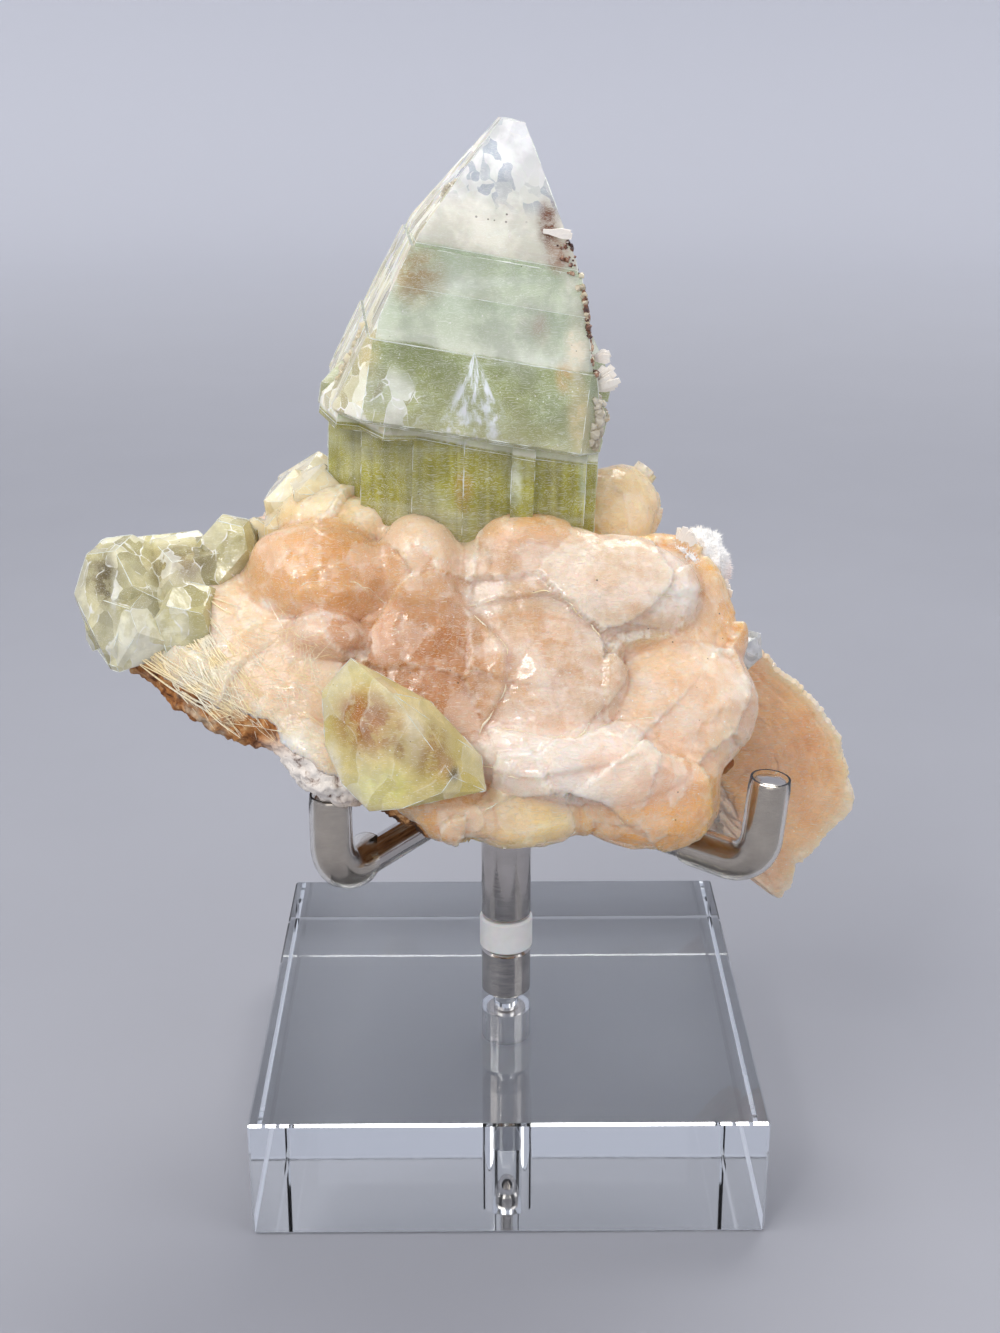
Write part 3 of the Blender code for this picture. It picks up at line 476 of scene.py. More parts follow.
def turned_rows(bm, profile, steps):
    """The vertices of a profile of (radius, height) at each step round the stand's axis."""
    rows = []
    for i in range(steps):
        angle = 2 * math.pi * i / steps
        rows.append([bm.verts.new((r * math.cos(angle), r * math.sin(angle), z)) for r, z in profile])
    return rows


def turned(profile, steps=72, closed=False):
    """A profile of (radius, height) turned round the stand's axis, in mm."""
    bm = bmesh.new()
    rows = turned_rows(bm, profile, steps)
    count = len(profile)
    for i in range(steps):
        here, there = rows[i], rows[(i + 1) % steps]
        for j in range(count if closed else count - 1):
            k = (j + 1) % count
            bm.faces.new((here[j], there[j], there[k], here[k]))
    if not closed:
        bmesh.ops.holes_fill(bm, edges=[edge for edge in bm.edges if edge.is_boundary], sides=steps)
    bmesh.ops.recalc_face_normals(bm, faces=bm.faces)
    return bm


def sweep(bm, route, radii, sides, caps=True):
    """A round section swept along a route, with a radius at each point."""
    rings = []
    side = None
    for i, place in enumerate(route):
        ahead = route[min(i + 1, len(route) - 1)] - route[max(i - 1, 0)]
        ahead.normalize()
        if side is None:
            side = ahead.orthogonal().normalized()
        side = (side - ahead * side.dot(ahead)).normalized()
        other = ahead.cross(side)
        ring = []
        for j in range(sides):
            angle = 2 * math.pi * j / sides
            ring.append(bm.verts.new(place + (side * math.cos(angle) + other * math.sin(angle)) * radii[i]))
        rings.append(ring)
    for here, there in zip(rings, rings[1:]):
        bridge(bm, here, there)
    if caps:
        bm.faces.new(rings[0][::-1])
        bm.faces.new(rings[-1])
    return rings


# The stage, the light and the camera


def stage():
    floor_radius, fillet, wall, drop_below = 900.0, 500.0, 1500.0, -0.25
    pale_from, pale_to = 330.0, 1250.0
    profile = [(floor_radius, drop_below)]
    for i in range(1, 17):
        angle = math.pi / 2 * i / 16
        profile.append((floor_radius + fillet * math.sin(angle), drop_below + fillet * (1 - math.cos(angle))))
    profile.append((floor_radius + fillet, wall))
    bm = bmesh.new()
    rows = turned_rows(bm, profile, 96)
    middle = bm.verts.new((0, 0, drop_below))
    for here, there in zip(rows, rows[1:] + rows[:1]):
        bm.faces.new((middle, here[0], there[0]))
        bridge(bm, here, there, around=False)
    look = Look("studio_floor", {"Roughness": 0.7})
    near = look.mix(look.noise(0.02, 2.0), rgb(152, 154, 163), rgb(157, 159, 168))
    away = look.vector("LENGTH", look.mm)
    look.set("Base Color", look.mix(look.fit(away, pale_from, pale_to), near, rgb(242, 244, 252)))
    mesh = mesh_from("studio_floor", bm)
    mesh.transform(TO_FRAME)
    mesh.shade_smooth()
    mesh.materials.append(look.material)
    linked("studio_floor", mesh)


def soft_light(name, place, target, size, power, colour):
    data = bpy.data.lights.new(name, "AREA")
    data.shape = "RECTANGLE"
    data.size, data.size_y = size
    data.energy = power
    data.color = colour
    made = linked(name, data)
    made.location = TO_FRAME @ Vector(place)
    aim = TO_FRAME @ Vector(target) - made.location
    made.rotation_euler = aim.to_track_quat("-Z", "Y").to_euler()


def lights():
    world = bpy.data.worlds.new("studio_world")
    world.use_nodes = True
    back = world.node_tree.nodes["Background"]
    back.inputs["Color"].default_value = (0.96, 0.97, 1.0, 1.0)
    back.inputs["Strength"].default_value = 0.50
    bpy.context.scene.world = world
    soft_light("key", (-420, -260, 620), (0, 0, 90), (0.50, 0.50), 2.6, (1.0, 0.965, 0.92))
    soft_light("sparkle", (-210, -420, 430), (0, 0, 90), (0.09, 0.09), 0.62, (1.0, 0.98, 0.95))
    soft_light("fill", (520, -300, 360), (0, 0, 80), (0.40, 0.50), 1.0, (1.0, 0.98, 0.96))
    soft_light("rim", (120, 400, 760), (0, 0, 100), (0.50, 0.35), 3.4, (1.0, 0.98, 0.95))
    soft_light("front", (-60, -640, 200), (0, 0, 80), (0.50, 0.25), 0.35, (1.0, 0.99, 0.97))


def camera():
    data = bpy.data.cameras.new("camera")
    data.lens = CAMERA_LENS
    data.sensor_width = 36.0
    data.clip_start = 0.01
    data.clip_end = 20.0
    made = linked("camera", data)
    made.location = TO_FRAME @ Vector(CAMERA_PLACE)
    made.rotation_euler = (math.radians(90 - CAMERA_DOWN), 0.0, math.radians(CAMERA_TURN))
    bpy.context.scene.camera = made
    bpy.context.scene.view_settings.view_transform = "Standard"


# The stand's finishes


def acrylic_look():
    look = Look("acrylic", {"Base Color": rgb(250, 252, 253), "IOR": 1.49, "Transmission Weight": 1.0})
    smears = look.noise(0.06, 3.0)
    look.set("Roughness", look.fit(smears, 0.45, 0.8, 0.0, 0.035))
    scratches = look.noise(1.4, 2.0, vector=look.stretched((0.25, 6.0, 0.25), (0, 0, 31)))
    look.bumps((scratches, 0.002, 0.25))
    look.absorb((0.93, 0.985, 1.0), 3.0)
    return look


def steel_look():
    look = Look("polished_steel", {"Metallic": 1.0, "Specular IOR Level": 0.5})
    streaks = look.noise(1.0, 4.0, vector=look.stretched((0.35, 0.35, 5.0)))
    cloud = look.noise(0.25, 3.0)
    look.set("Base Color", look.mix(cloud, rgb(176, 170, 166), rgb(216, 211, 206)))
    look.set("Roughness", look.fit(streaks, 0.3, 0.75, 0.07, 0.24))
    look.bumps((streaks, 0.01, 0.25), (look.noise(3.0, 3.0), 0.01, 0.15))
    return look


def nylon_look():
    look = Look("white_nylon", {"Subsurface Weight": 0.35, "Subsurface Scale": 0.002})
    cloud = look.noise(0.6, 3.0)
    look.set("Base Color", look.mix(cloud, rgb(226, 226, 222), rgb(240, 240, 238)))
    rings = look.noise(1.0, 2.0, vector=look.stretched((0.1, 0.1, 9.0)))
    look.set("Roughness", look.fit(rings, 0.3, 0.7, 0.3, 0.5))
    look.bumps((rings, 0.02, 0.4))
    return look


def vinyl_look():
    look = Look("clear_vinyl", {"Base Color": rgb(250, 247, 240), "IOR": 1.42, "Transmission Weight": 1.0})
    look.set("Roughness", look.fit(look.noise(0.5, 2.0), 0.35, 0.7, 0.02, 0.12))
    look.bumps((look.noise(0.9, 2.0), 0.02, 0.3))
    return look


# The stand's pieces


def acrylic_base(look):
    bm = bmesh.new()
    bmesh.ops.create_cube(bm, size=1.0)
    bmesh.ops.scale(bm, vec=(BASE_SIDE, BASE_SIDE, BASE_HEIGHT), verts=bm.verts)
    bmesh.ops.translate(bm, vec=(0, 0, BASE_HEIGHT / 2), verts=bm.verts)
    bmesh.ops.bevel(bm, geom=bm.edges[:], offset=BASE_CHAMFER, segments=1, affect="EDGES")
    body = loose_object("base_body", bm)
    shank = SCREW_SHANK_RADIUS + STAND_GAP
    hole = loose_object("base_hole", turned((
        (NEAR_AXIS, -5.0), (COUNTERBORE_RADIUS, -5.0), (COUNTERBORE_RADIUS, COUNTERBORE_DEPTH),
        (shank, COUNTERBORE_DEPTH), (shank, BASE_HEIGHT + 5.0), (NEAR_AXIS, BASE_HEIGHT + 5.0))))
    mesh = cut_mesh(body, hole, "DIFFERENCE", "EXACT")
    shade(mesh, 20)
    link_mesh("clear_block", mesh, look, ("acrylic_base",))


def barrel(radius, low, high, edge, bore=NEAR_AXIS):
    """The profile of a cylinder with chamfered ends."""
    return ((bore, low), (radius - edge, low), (radius, low + edge), (radius, high - edge),
            (radius - edge, high), (bore, high))


def post_pieces(steel, nylon):
    edge = 0.35
    lower = barrel(POST_RADIUS, BASE_HEIGHT + STAND_GAP, RING_LOW - STAND_GAP, edge)
    piece("post_below_ring", turned(lower), steel, ("lower_post",), smooth=30)
    ring = barrel(RING_RADIUS, RING_LOW, RING_HIGH, edge, 1.0)
    piece("plastic_ring", turned(ring, closed=True), nylon, ("post_ring",), smooth=30)
    start, end = RING_HIGH + STAND_GAP, HUB_LOW - STAND_GAP
    upper = ((NEAR_AXIS, start), (POST_RADIUS - edge, start), (POST_RADIUS, start + edge), (POST_RADIUS, end),
             (NEAR_AXIS, end))
    piece("post_above_ring", turned(upper), steel, ("upper_post",), smooth=30)


def screw_piece(steel):
    head_top = COUNTERBORE_DEPTH - STAND_GAP
    head_low = head_top - SCREW_HEAD_HEIGHT
    edge, socket, socket_end = 0.4, 1.45, head_low + 1.4
    profile = [(NEAR_AXIS, socket_end), (socket, socket_end), (socket, head_low),
               (SCREW_HEAD_RADIUS - edge, head_low), (SCREW_HEAD_RADIUS, head_low + edge),
               (SCREW_HEAD_RADIUS, head_top), (SCREW_SHANK_RADIUS, head_top)]
    pitch, depth = 0.8, 0.25
    threads = int((BASE_HEIGHT + SCREW_REACH - head_top) / pitch)
    for i in range(threads):
        z = head_top + pitch * (i + 0.5)
        profile.append((SCREW_SHANK_RADIUS - depth, z))
        profile.append((SCREW_SHANK_RADIUS, z + pitch / 2))
    profile.append((NEAR_AXIS, head_top + pitch * (threads + 0.3)))
    piece("socket_screw", turned(profile, 48), steel, ("base_screw",), smooth=40)


def arm_route(name):
    """From inside the hub out along the arm, round the bend and up the prong."""
    start, corner, tip, _ = ARMS[name]
    start = Vector((*start, ARM_HEIGHT))
    corner = Vector((*corner, ARM_HEIGHT))
    tip = Vector(tip)
    back = (start - corner).normalized()
    up = (tip - corner).normalized()
    half = back.angle(up) / 2
    run = BEND_RADIUS / math.tan(half)
    centre = corner + (back + up).normalized() * (BEND_RADIUS / math.sin(half))
    first = corner + back * run - centre
    last = corner + up * run - centre
    axis = first.cross(last).normalized()
    sweep_angle = first.angle(last)
    steps = 16
    bend = [centre + Matrix.Rotation(sweep_angle * i / steps, 3, axis) @ first for i in range(steps + 1)]
    return [start, *bend, tip]


def evenly(route, step):
    """The same route with points no further apart than a step."""
    places = [route[0]]
    for here, there in zip(route, route[1:]):
        count = max(1, round((there - here).length / step))
        places += [here.lerp(there, (i + 1) / count) for i in range(count)]
    return places


def arm_pieces(name, steel, vinyl):
    route = arm_route(name)
    up = (route[-1] - route[-2]).normalized()
    edge = 0.45
    rod = evenly(route[:-1] + [route[-1] - up * edge], 1.5)
    rod += [route[-1] - up * edge * 0.3, route[-1]]
    radii = [ROD_RADIUS] * (len(rod) - 2) + [ROD_RADIUS - edge * 0.3, ROD_RADIUS - edge]
    bm = bmesh.new()
    sweep(bm, rod, radii, ROD_SIDES)
    piece("rod_" + name, bm, steel, ("arm_" + name,), smooth=40)
    begin = Vector((*ARMS[name][3], ARM_HEIGHT))
    rim = route[-1] + up * STAND_GAP
    tube = evenly([begin, *route[1:-1], rim], 1.5)
    bore = ROD_RADIUS + 0.12
    round_in = 0.18
    bm = bmesh.new()
    end_radius = SLEEVE_RADIUS - round_in
    radii = [end_radius] + [SLEEVE_RADIUS] * (len(tube) - 2) + [end_radius]
    outer = sweep(bm, tube, radii, ROD_SIDES, caps=False)
    inner = sweep(bm, tube, [bore] * len(tube), ROD_SIDES, caps=False)
    for end in (0, -1):
        bridge(bm, outer[end], inner[end])
    bmesh.ops.recalc_face_normals(bm, faces=bm.faces)
    piece("tube_" + name, bm, vinyl, ("sleeve_" + name,), smooth=40)


# The stone


def facing(azimuth, rise):
    """A direction, in degrees to the right of the front and degrees above level."""
    across, up = math.radians(azimuth), math.radians(rise)
    return Vector((math.sin(across) * math.cos(up), -math.cos(across) * math.cos(up), math.sin(up)))


def lobe_frames():
    """Each lobe's middle, its axes (across, inwards, up) and its half sizes along them."""
    frames = []
    for front, (wide, tall, thick), (azimuth, rise, spin), _, _ in LOBES.values():
        out = facing(azimuth, rise)
        right = facing(azimuth + 90, 0)
        axes = Matrix((right, -out, right.cross(-out))).transposed()
        axes = axes @ Matrix.Rotation(math.radians(spin), 3, "Y")
        frames.append((Vector(front) - out * thick, axes, Vector((wide, thick, tall))))
    return frames


def parting_height(x, y):
    """Where the stilbite ends over the matrix."""
    front = np.interp(x, PARTING_ACROSS, PARTING_FRONT)
    back = np.interp(x, PARTING_ACROSS, PARTING_BACK)
    share = np.clip((y - PARTING_FRONT_Y) / (PARTING_BACK_Y - PARTING_FRONT_Y), 0.0, 1.0)
    share = share * share * (3 - 2 * share)
    return front + (back - front) * share + 0.7 * np.sin(x * 0.31 + 1.4 * np.sin(x * 0.83)) * np.cos(y * 0.4)


def lump_mesh(bm, middle, axes, size):
    """A lump whose front is flatter and whose rim is squarer than a ball's."""
    made = bmesh.ops.create_icosphere(bm, subdivisions=5, radius=1.0)["verts"]
    for vert in made:
        squared = sum(abs(part) ** LOBE_SQUARENESS for part in vert.co) ** (1 / LOBE_SQUARENESS)
        vert.co /= squared
    place = Matrix.Translation(middle) @ axes.to_4x4() @ Matrix.Diagonal((*size, 1.0))
    bmesh.ops.transform(bm, matrix=place, verts=made)


def stone_body():
    """All lobes and the bulk behind them made one closed surface, in mm."""
    bm = bmesh.new()
    for middle, axes, size in lobe_frames():
        lump_mesh(bm, middle, axes, size)
    corners = [bm.verts.new(corner) for corner in CORE]
    made = bmesh.ops.convex_hull(bm, input=corners)
    bmesh.ops.delete(bm, geom=[item for item in made["geom_interior"] if item in corners], context="VERTS")
    stone = loose_object("stone", bm)
    skin = stone.modifiers.new("skin", "REMESH")
    skin.mode = "VOXEL"
    skin.voxel_size = STONE_VOXEL
    calm = stone.modifiers.new("calm", "SMOOTH")
    calm.factor = 0.5
    calm.iterations = STONE_SMOOTHING
    mesh = evaluated_mesh(stone)
    drop(stone)
    return mesh


def reach_of_all(places):
    """How far out of each lobe each place is, 1 at the lobe's surface."""
    return np.array([
        np.linalg.norm((places - np.array(middle)) @ np.array(axes) / np.array(size), axis=1)
        for middle, axes, size in lobe_frames()])


def lobe_places(places):
    """For each place the lobe that it lies on, how much it lies on each, and its place on that lobe."""
    frames = lobe_frames()
    local = np.array([(places - np.array(middle)) @ np.array(axes) for middle, axes, _ in frames])
    reach = reach_of_all(places)
    owner = reach.argmin(axis=0)
    nearness = np.exp(-(reach - reach.min(axis=0)) * 22.0)
    nearness /= nearness.sum(axis=0)
    return owner, nearness, local[owner, np.arange(len(places))], reach.min(axis=0)


def bent_cells(places, across, bend, shift, pace):
    """Places in cells that are so many mm across, bent so that the cells aren't regular."""
    wander = np.column_stack([field(places + k * shift, pace / across) for k in range(3)])
    return (places + bend * across * wander) / across


def scoops(places, across):
    """Hollows that meet in sharp ridges, from 0 in a hollow to about 1 on a ridge."""
    nearest = [noise.voronoi(Vector(place))[0][0] for place in bent_cells(places, across, 0.25, 31.0, 0.7)]
    return np.minimum(1.0, np.square(nearest) * 1.8)


def sheets(places, across, slope):
    """The height of each place on its own tilted sheet, the sheet's own number, and how near its rim is."""
    found = np.empty((len(places), 3))
    for i, place in enumerate(bent_cells(places, across, 0.3, 17.0, 0.8)):
        gaps, centres = noise.voronoi(Vector(place))
        lean = noise.cell_vector(centres[0] * 91.7) - Vector((0.5, 0.5, 0.5))
        height = (Vector(place) - centres[0]).dot(lean) * 2.0 + lean.z * 0.25
        found[i] = height * across * slope, lean.x + 0.5, math.exp((gaps[0] - gaps[1]) * across / 0.5)
    return found


def ledge_height(places, ways, line, height, run):
    """How far a ledge lifts each place: most at its edge, less behind it and nothing before it."""
    best = np.full(len(places), 1e9)
    lift = np.zeros(len(places))
    line = [np.array(spot) for spot in line]
    for k, (start, end) in enumerate(zip(line, line[1:])):
        ahead = end - start
        share = np.clip((places - start) @ ahead / (ahead @ ahead), 0.0, 1.0)
        aside = places - (start + share[:, None] * ahead)
        distance = np.linalg.norm(aside, axis=1)
        signed = np.einsum("ij,ij->i", np.cross(ways, ahead / np.linalg.norm(ahead)), aside)
        whole = (k + share) / (len(line) - 1)
        fade = np.sin(np.pi * np.clip(whole, 0.04, 0.96)) ** 0.5
        behind = np.exp(-signed / run) * np.clip((signed + 0.25) / 0.5, 0.0, 1.0) * (distance < 2.5 * run)
        value = height * fade * behind * np.exp(-np.maximum(0.0, distance - np.abs(signed)) / 2.0)
        closer = distance < best
        lift[closer] = value[closer]
        best = np.minimum(best, distance)
    return lift


def shape_stone(mesh):
    """Moves the stone's surface: ledges, scoops and fibres on the lobes, and rough crust below."""
    places, ways = points_of(mesh), normals_of(mesh)
    owner, nearness, local, reach = lobe_places(places)
    roots = np.array([[0.35 * math.sin(i * 2.3), -1.15] for i in range(len(LOBES))])
    sizes = np.array([[size[0], size[2]] for _, _, size in lobe_frames()])
    across = local[:, 0] - roots[owner, 0] * sizes[owner, 0]
    up = local[:, 2] - roots[owner, 1] * sizes[owner, 1]
    angle = np.arctan2(across, up)
    far = np.hypot(across, up)
    crust = np.clip((parting_height(places[:, 0], places[:, 1]) + 1.0 - places[:, 2]) / 2.0, 0.0, 1.0)
    calm = 1.0 - crust
    pleats = field(np.column_stack((angle * 4.5, far * 0.05, owner * 7.7)), 1.0)
    soft = field(places, 0.13)
    grit = field(places, 1.1)
    rough = 0.5 * field(places, 0.27) + 0.6 * field(places, 0.8) + 0.6 * grit
    smooth_move = 0.5 * soft + 0.07 * pleats + 0.02 * grit - 0.15
    for size, depth in SCOOPS:
        smooth_move += depth * (scoops(places, size) - 0.35)
    broad, small = (sheets(places, size, slope) for size, slope in SHEETS)
    smooth_move += broad[:, 0] + small[:, 0]
    for line, height, run in LEDGES:
        smooth_move += ledge_height(places, ways, line, height, run)
    # How near each place is to a crease between lobes, where the look paints shade
    creases = np.exp(-((nearness.max(axis=0) - 0.5) * 7.0) ** 2)
    move = calm * smooth_move + crust * (rough * 0.9 - 0.3)
    mesh.vertices.foreach_set("co", (places + ways * move[:, None]).astype(np.float32).ravel())
    # Each lobe's colour, with its share of pearly tone and painted sheen in the alpha
    colours = np.array([rgb(*lobe[3]) for lobe in LOBES.values()])
    pearl_sheen = np.array([lobe[4] for lobe in LOBES.values()])
    soft_share = np.exp(-(reach_of_all(places) - reach) * 7.0)
    soft_share /= soft_share.sum(axis=0)
    paint = np.column_stack((soft_share.T @ colours, soft_share.T @ pearl_sheen))
    set_attribute(mesh, "tint", "FLOAT_COLOR", "color", paint)
    grain = np.column_stack((angle * 60.0, far * 0.35, owner * 11.0))
    set_attribute(mesh, "grain", "FLOAT_VECTOR", "vector", grain)
    set_attribute(mesh, "crease_shade", "FLOAT", "value", creases[:, None])
    plates = np.column_stack((broad[:, 1], small[:, 1], np.maximum(broad[:, 2], 0.6 * small[:, 2])))
    set_attribute(mesh, "plates", "FLOAT_VECTOR", "vector", plates)


def set_attribute(mesh, name, kind, field_name, values):
    made = mesh.attributes.new(name, kind, "POINT")
    made.data.foreach_set(field_name, np.ascontiguousarray(values, np.float32).ravel())


def parting_block(lift, top):
    """A block on one side of the parting, whose wavy face lies at the parting plus lift."""
    bm = bmesh.new()
    bmesh.ops.create_grid(bm, x_segments=150, y_segments=110, size=0.5)
    for vert in bm.verts:
        x, y = vert.co.x * PARTING_WIDE, vert.co.y * PARTING_DEEP
        ragged = 0.9 * noise.noise(Vector((x, y, 0)) * 0.33) + 0.5 * noise.noise(Vector((x, y, 9)) * 0.9)
        vert.co = Vector((x, y, float(parting_height(x, y)) + lift + ragged))
    sheet = bmesh.ops.extrude_face_region(bm, geom=bm.faces[:])
    for item in sheet["geom"]:
        if isinstance(item, bmesh.types.BMVert):
            item.co.z = top
    bmesh.ops.recalc_face_normals(bm, faces=bm.faces)
    return loose_object("parting", bm)


def stone_part(mesh, lift, top):
    """The stone above or below the parting."""
    return cut_mesh(linked("stone_part", mesh.copy()), parting_block(lift, top), "INTERSECT", "MANIFOLD")


# Stains on the stilbite, and patches of painted highlight and painted light: place, size, colour and share
STILBITE_STAINS_AND_PAINTED_LIGHT = (
    ((22.6, -22.2, 94.6), (6.5, 6.0, 3.4), (255, 248, 238), 0.85),
    # Painted highlight along the pearly ridge
    ((7.0, -34.0, 77.6), (13.0, 5.0, 2.0), (255, 244, 236), 0.7),
    ((-33.0, -22.7, 94.1), (1.8, 3.0, 1.4), (255, 250, 244), 0.9),
    ((14.0, -18.0, 104.0), (9.0, 5.0, 1.4), (226, 176, 112), 0.8),
    # Painted light: a pale patch over the low front rim lobes, which face down into shade
    ((-28.0, -36.0, 78.0), (8.0, 6.0, 3.0), (255, 242, 228), 0.7),
    ((-41.0, -27.0, 86.0), (8.0, 6.0, 5.0), (255, 240, 214), 0.7),
)


def stilbite_look():
    """Silky, half see-through peach with pale felted hairs; painted pearly sheen, crease shade and glints."""
    look = Look("stilbite", {
        "Subsurface Weight": 0.55, "Subsurface Scale": 0.005, "Subsurface Radius": (1.0, 0.62, 0.36),
        "Coat Weight": 0.55, "Coat Roughness": 0.12, "Sheen Weight": 0.05, "IOR": 1.5})
    grain = look.attribute("grain", "Vector")
    crease_shade = look.attribute("crease_shade", "Fac")
    fibre = look.noise(1.0, 4.0, 0.6, vector=grain)
    warm = look.noise(0.09, 4.0, 0.55)
    milk = look.noise(0.17, 5.0, 0.6)
    pale_hairs = look.hairs(2.8, 0.11, ((0, -35, 8), (0, 12, -10), (0, 62, 15)))
    dark_hairs = look.hairs(2.0, 0.09, ((0, 25, 40), (0, -62, 5)), 0.66, 0.72)
    colour = look.mix(look.fit(warm, 0.38, 0.68, 0.0, 0.5), look.attribute("tint"), rgb(222, 158, 98))
    # The tint's alpha is how pearly a place is: a pale tone with painted sheen over it
    pearly_sheen = look.times(look.fit(milk, 0.40, 0.66), look.attribute("tint", "Alpha"))
    colour = look.over(
        colour,
        ((246, 232, 218), pearly_sheen),
        ((250, 232, 212), look.fit(fibre, 0.5, 0.72), 0.2))
    plates = look.attribute("plates", "Vector")
    broad, small, rim = (look.part(plates, axis) for axis in "XYZ")
    colour = look.over(
        colour,
        ((252, 226, 200), look.fit(broad, 0.55, 1.0, 0.0, 0.35)),
        ((204, 136, 78), look.fit(broad, 0.45, 0.0, 0.0, 0.35)),
        ((250, 232, 214), look.fit(small, 0.6, 1.0, 0.0, 0.3)))
    broken = look.fit(look.noise(0.7, 3.0), 0.42, 0.6)
    # The darker orange in the creases between lobes is painted shade
    colour = look.over(
        colour,
        ((255, 246, 234), rim, broken, 0.55),
        ((252, 240, 226), pale_hairs, 0.6),
        ((196, 136, 88), dark_hairs, 0.25),
        ((210, 144, 88), crease_shade, 0.3))
    colour = look.patched(colour, warm, STILBITE_STAINS_AND_PAINTED_LIGHT)
    # Painted glints as tiny white dots, and dark specks
    colour = look.over(
        colour,
        ((255, 252, 246), look.dots(0.8, 0.11), 0.8),
        ((74, 50, 36), look.dots(0.33, 0.05, 0.07), 0.9))
    look.set("Base Color", colour)
    look.set("Roughness", look.fit(look.noise(0.5, 3.0), 0.35, 0.65, 0.22, 0.45))
    tone, _ = look.jumble(1.7, 0.05, look.stretched((1.0, 1.0, 0.5), (0, 25, 0)))
    look.bumps((fibre, 0.06, 0.4), (pale_hairs, 0.09, 0.8), (look.noise(1.6, 3.0), 0.07, 0.5),
               normal=look.tilted(tone, 0.22, normal=look.node("NewGeometry").outputs["Normal"]))
    return look


def matrix_look():
    look = Look("matrix_rock", {"Specular IOR Level": 0.3})
    broad = look.noise(0.13, 4.0, 0.6)
    middle = look.noise(0.5, 5.0, 0.65, distort=0.5)
    fine = look.noise(2.2, 4.0, 0.65)
    rust = look.ramp(
        middle, (0.28, rgb(52, 32, 22)), (0.40, rgb(120, 72, 38)), (0.52, rgb(176, 118, 66)),
        (0.64, rgb(206, 160, 108)), (0.78, rgb(232, 212, 182)))
    colour = look.mix(look.fit(broad, 0.5, 0.68), rust, rgb(214, 196, 168))
    white = look.times(look.spot((-27.0, -36.0, 73.5), (13.0, 9.0, 7.0), 0.4), look.fit(middle, 0.28, 0.46))
    colour = look.over(colour, ((240, 232, 222), white))
    dark = look.times(look.spot((-12.0, -36.0, 66.5), (9.0, 8.0, 4.5), 0.4), look.fit(middle, 0.62, 0.4))
    colour = look.over(
        colour,
        ((66, 44, 30), dark),
        ((60, 38, 26), look.fit(fine, 0.6, 0.75, 0.0, 0.6)))
    look.set("Base Color", colour)
    look.set("Roughness", look.fit(fine, 0.3, 0.7, 0.7, 0.95))
    look.bumps((middle, 0.5, 0.7), (fine, 0.2, 0.7))
    return look


# The fan and the tuft

FAN_MIDDLE = Vector((30.0, -5.0, 62.0))
FAN_THICKNESS = 4.0
# The fan's rays: degrees above level, and how far out the rim is, in mm.
FAN_RAYS = (
    (-74, 18.0), (-68, 22.5), (-62, 28.4), (-56, 28.0), (-50, 25.0), (-42, 25.6), (-34, 25.2), (-26, 26.6),
    (-19, 26.4), (-12, 24.2), (-2, 22.6), (8, 21.4), (18, 20.2), (30, 19.0), (42, 18.2), (54, 18.4),
    (66, 18.8))
FAN_BLADES = ((1.0, 0.0, 0.0), (0.82, 24.0, 3.0))
TUFT_MIDDLE = Vector((28.2, -7.0, 94.4))
TUFT_SIZE = Vector((4.4, 4.6, 5.4))
# The angles round a fibre at which its three edges stand
SPIKE_CORNERS = (0, 2.094, 4.189)


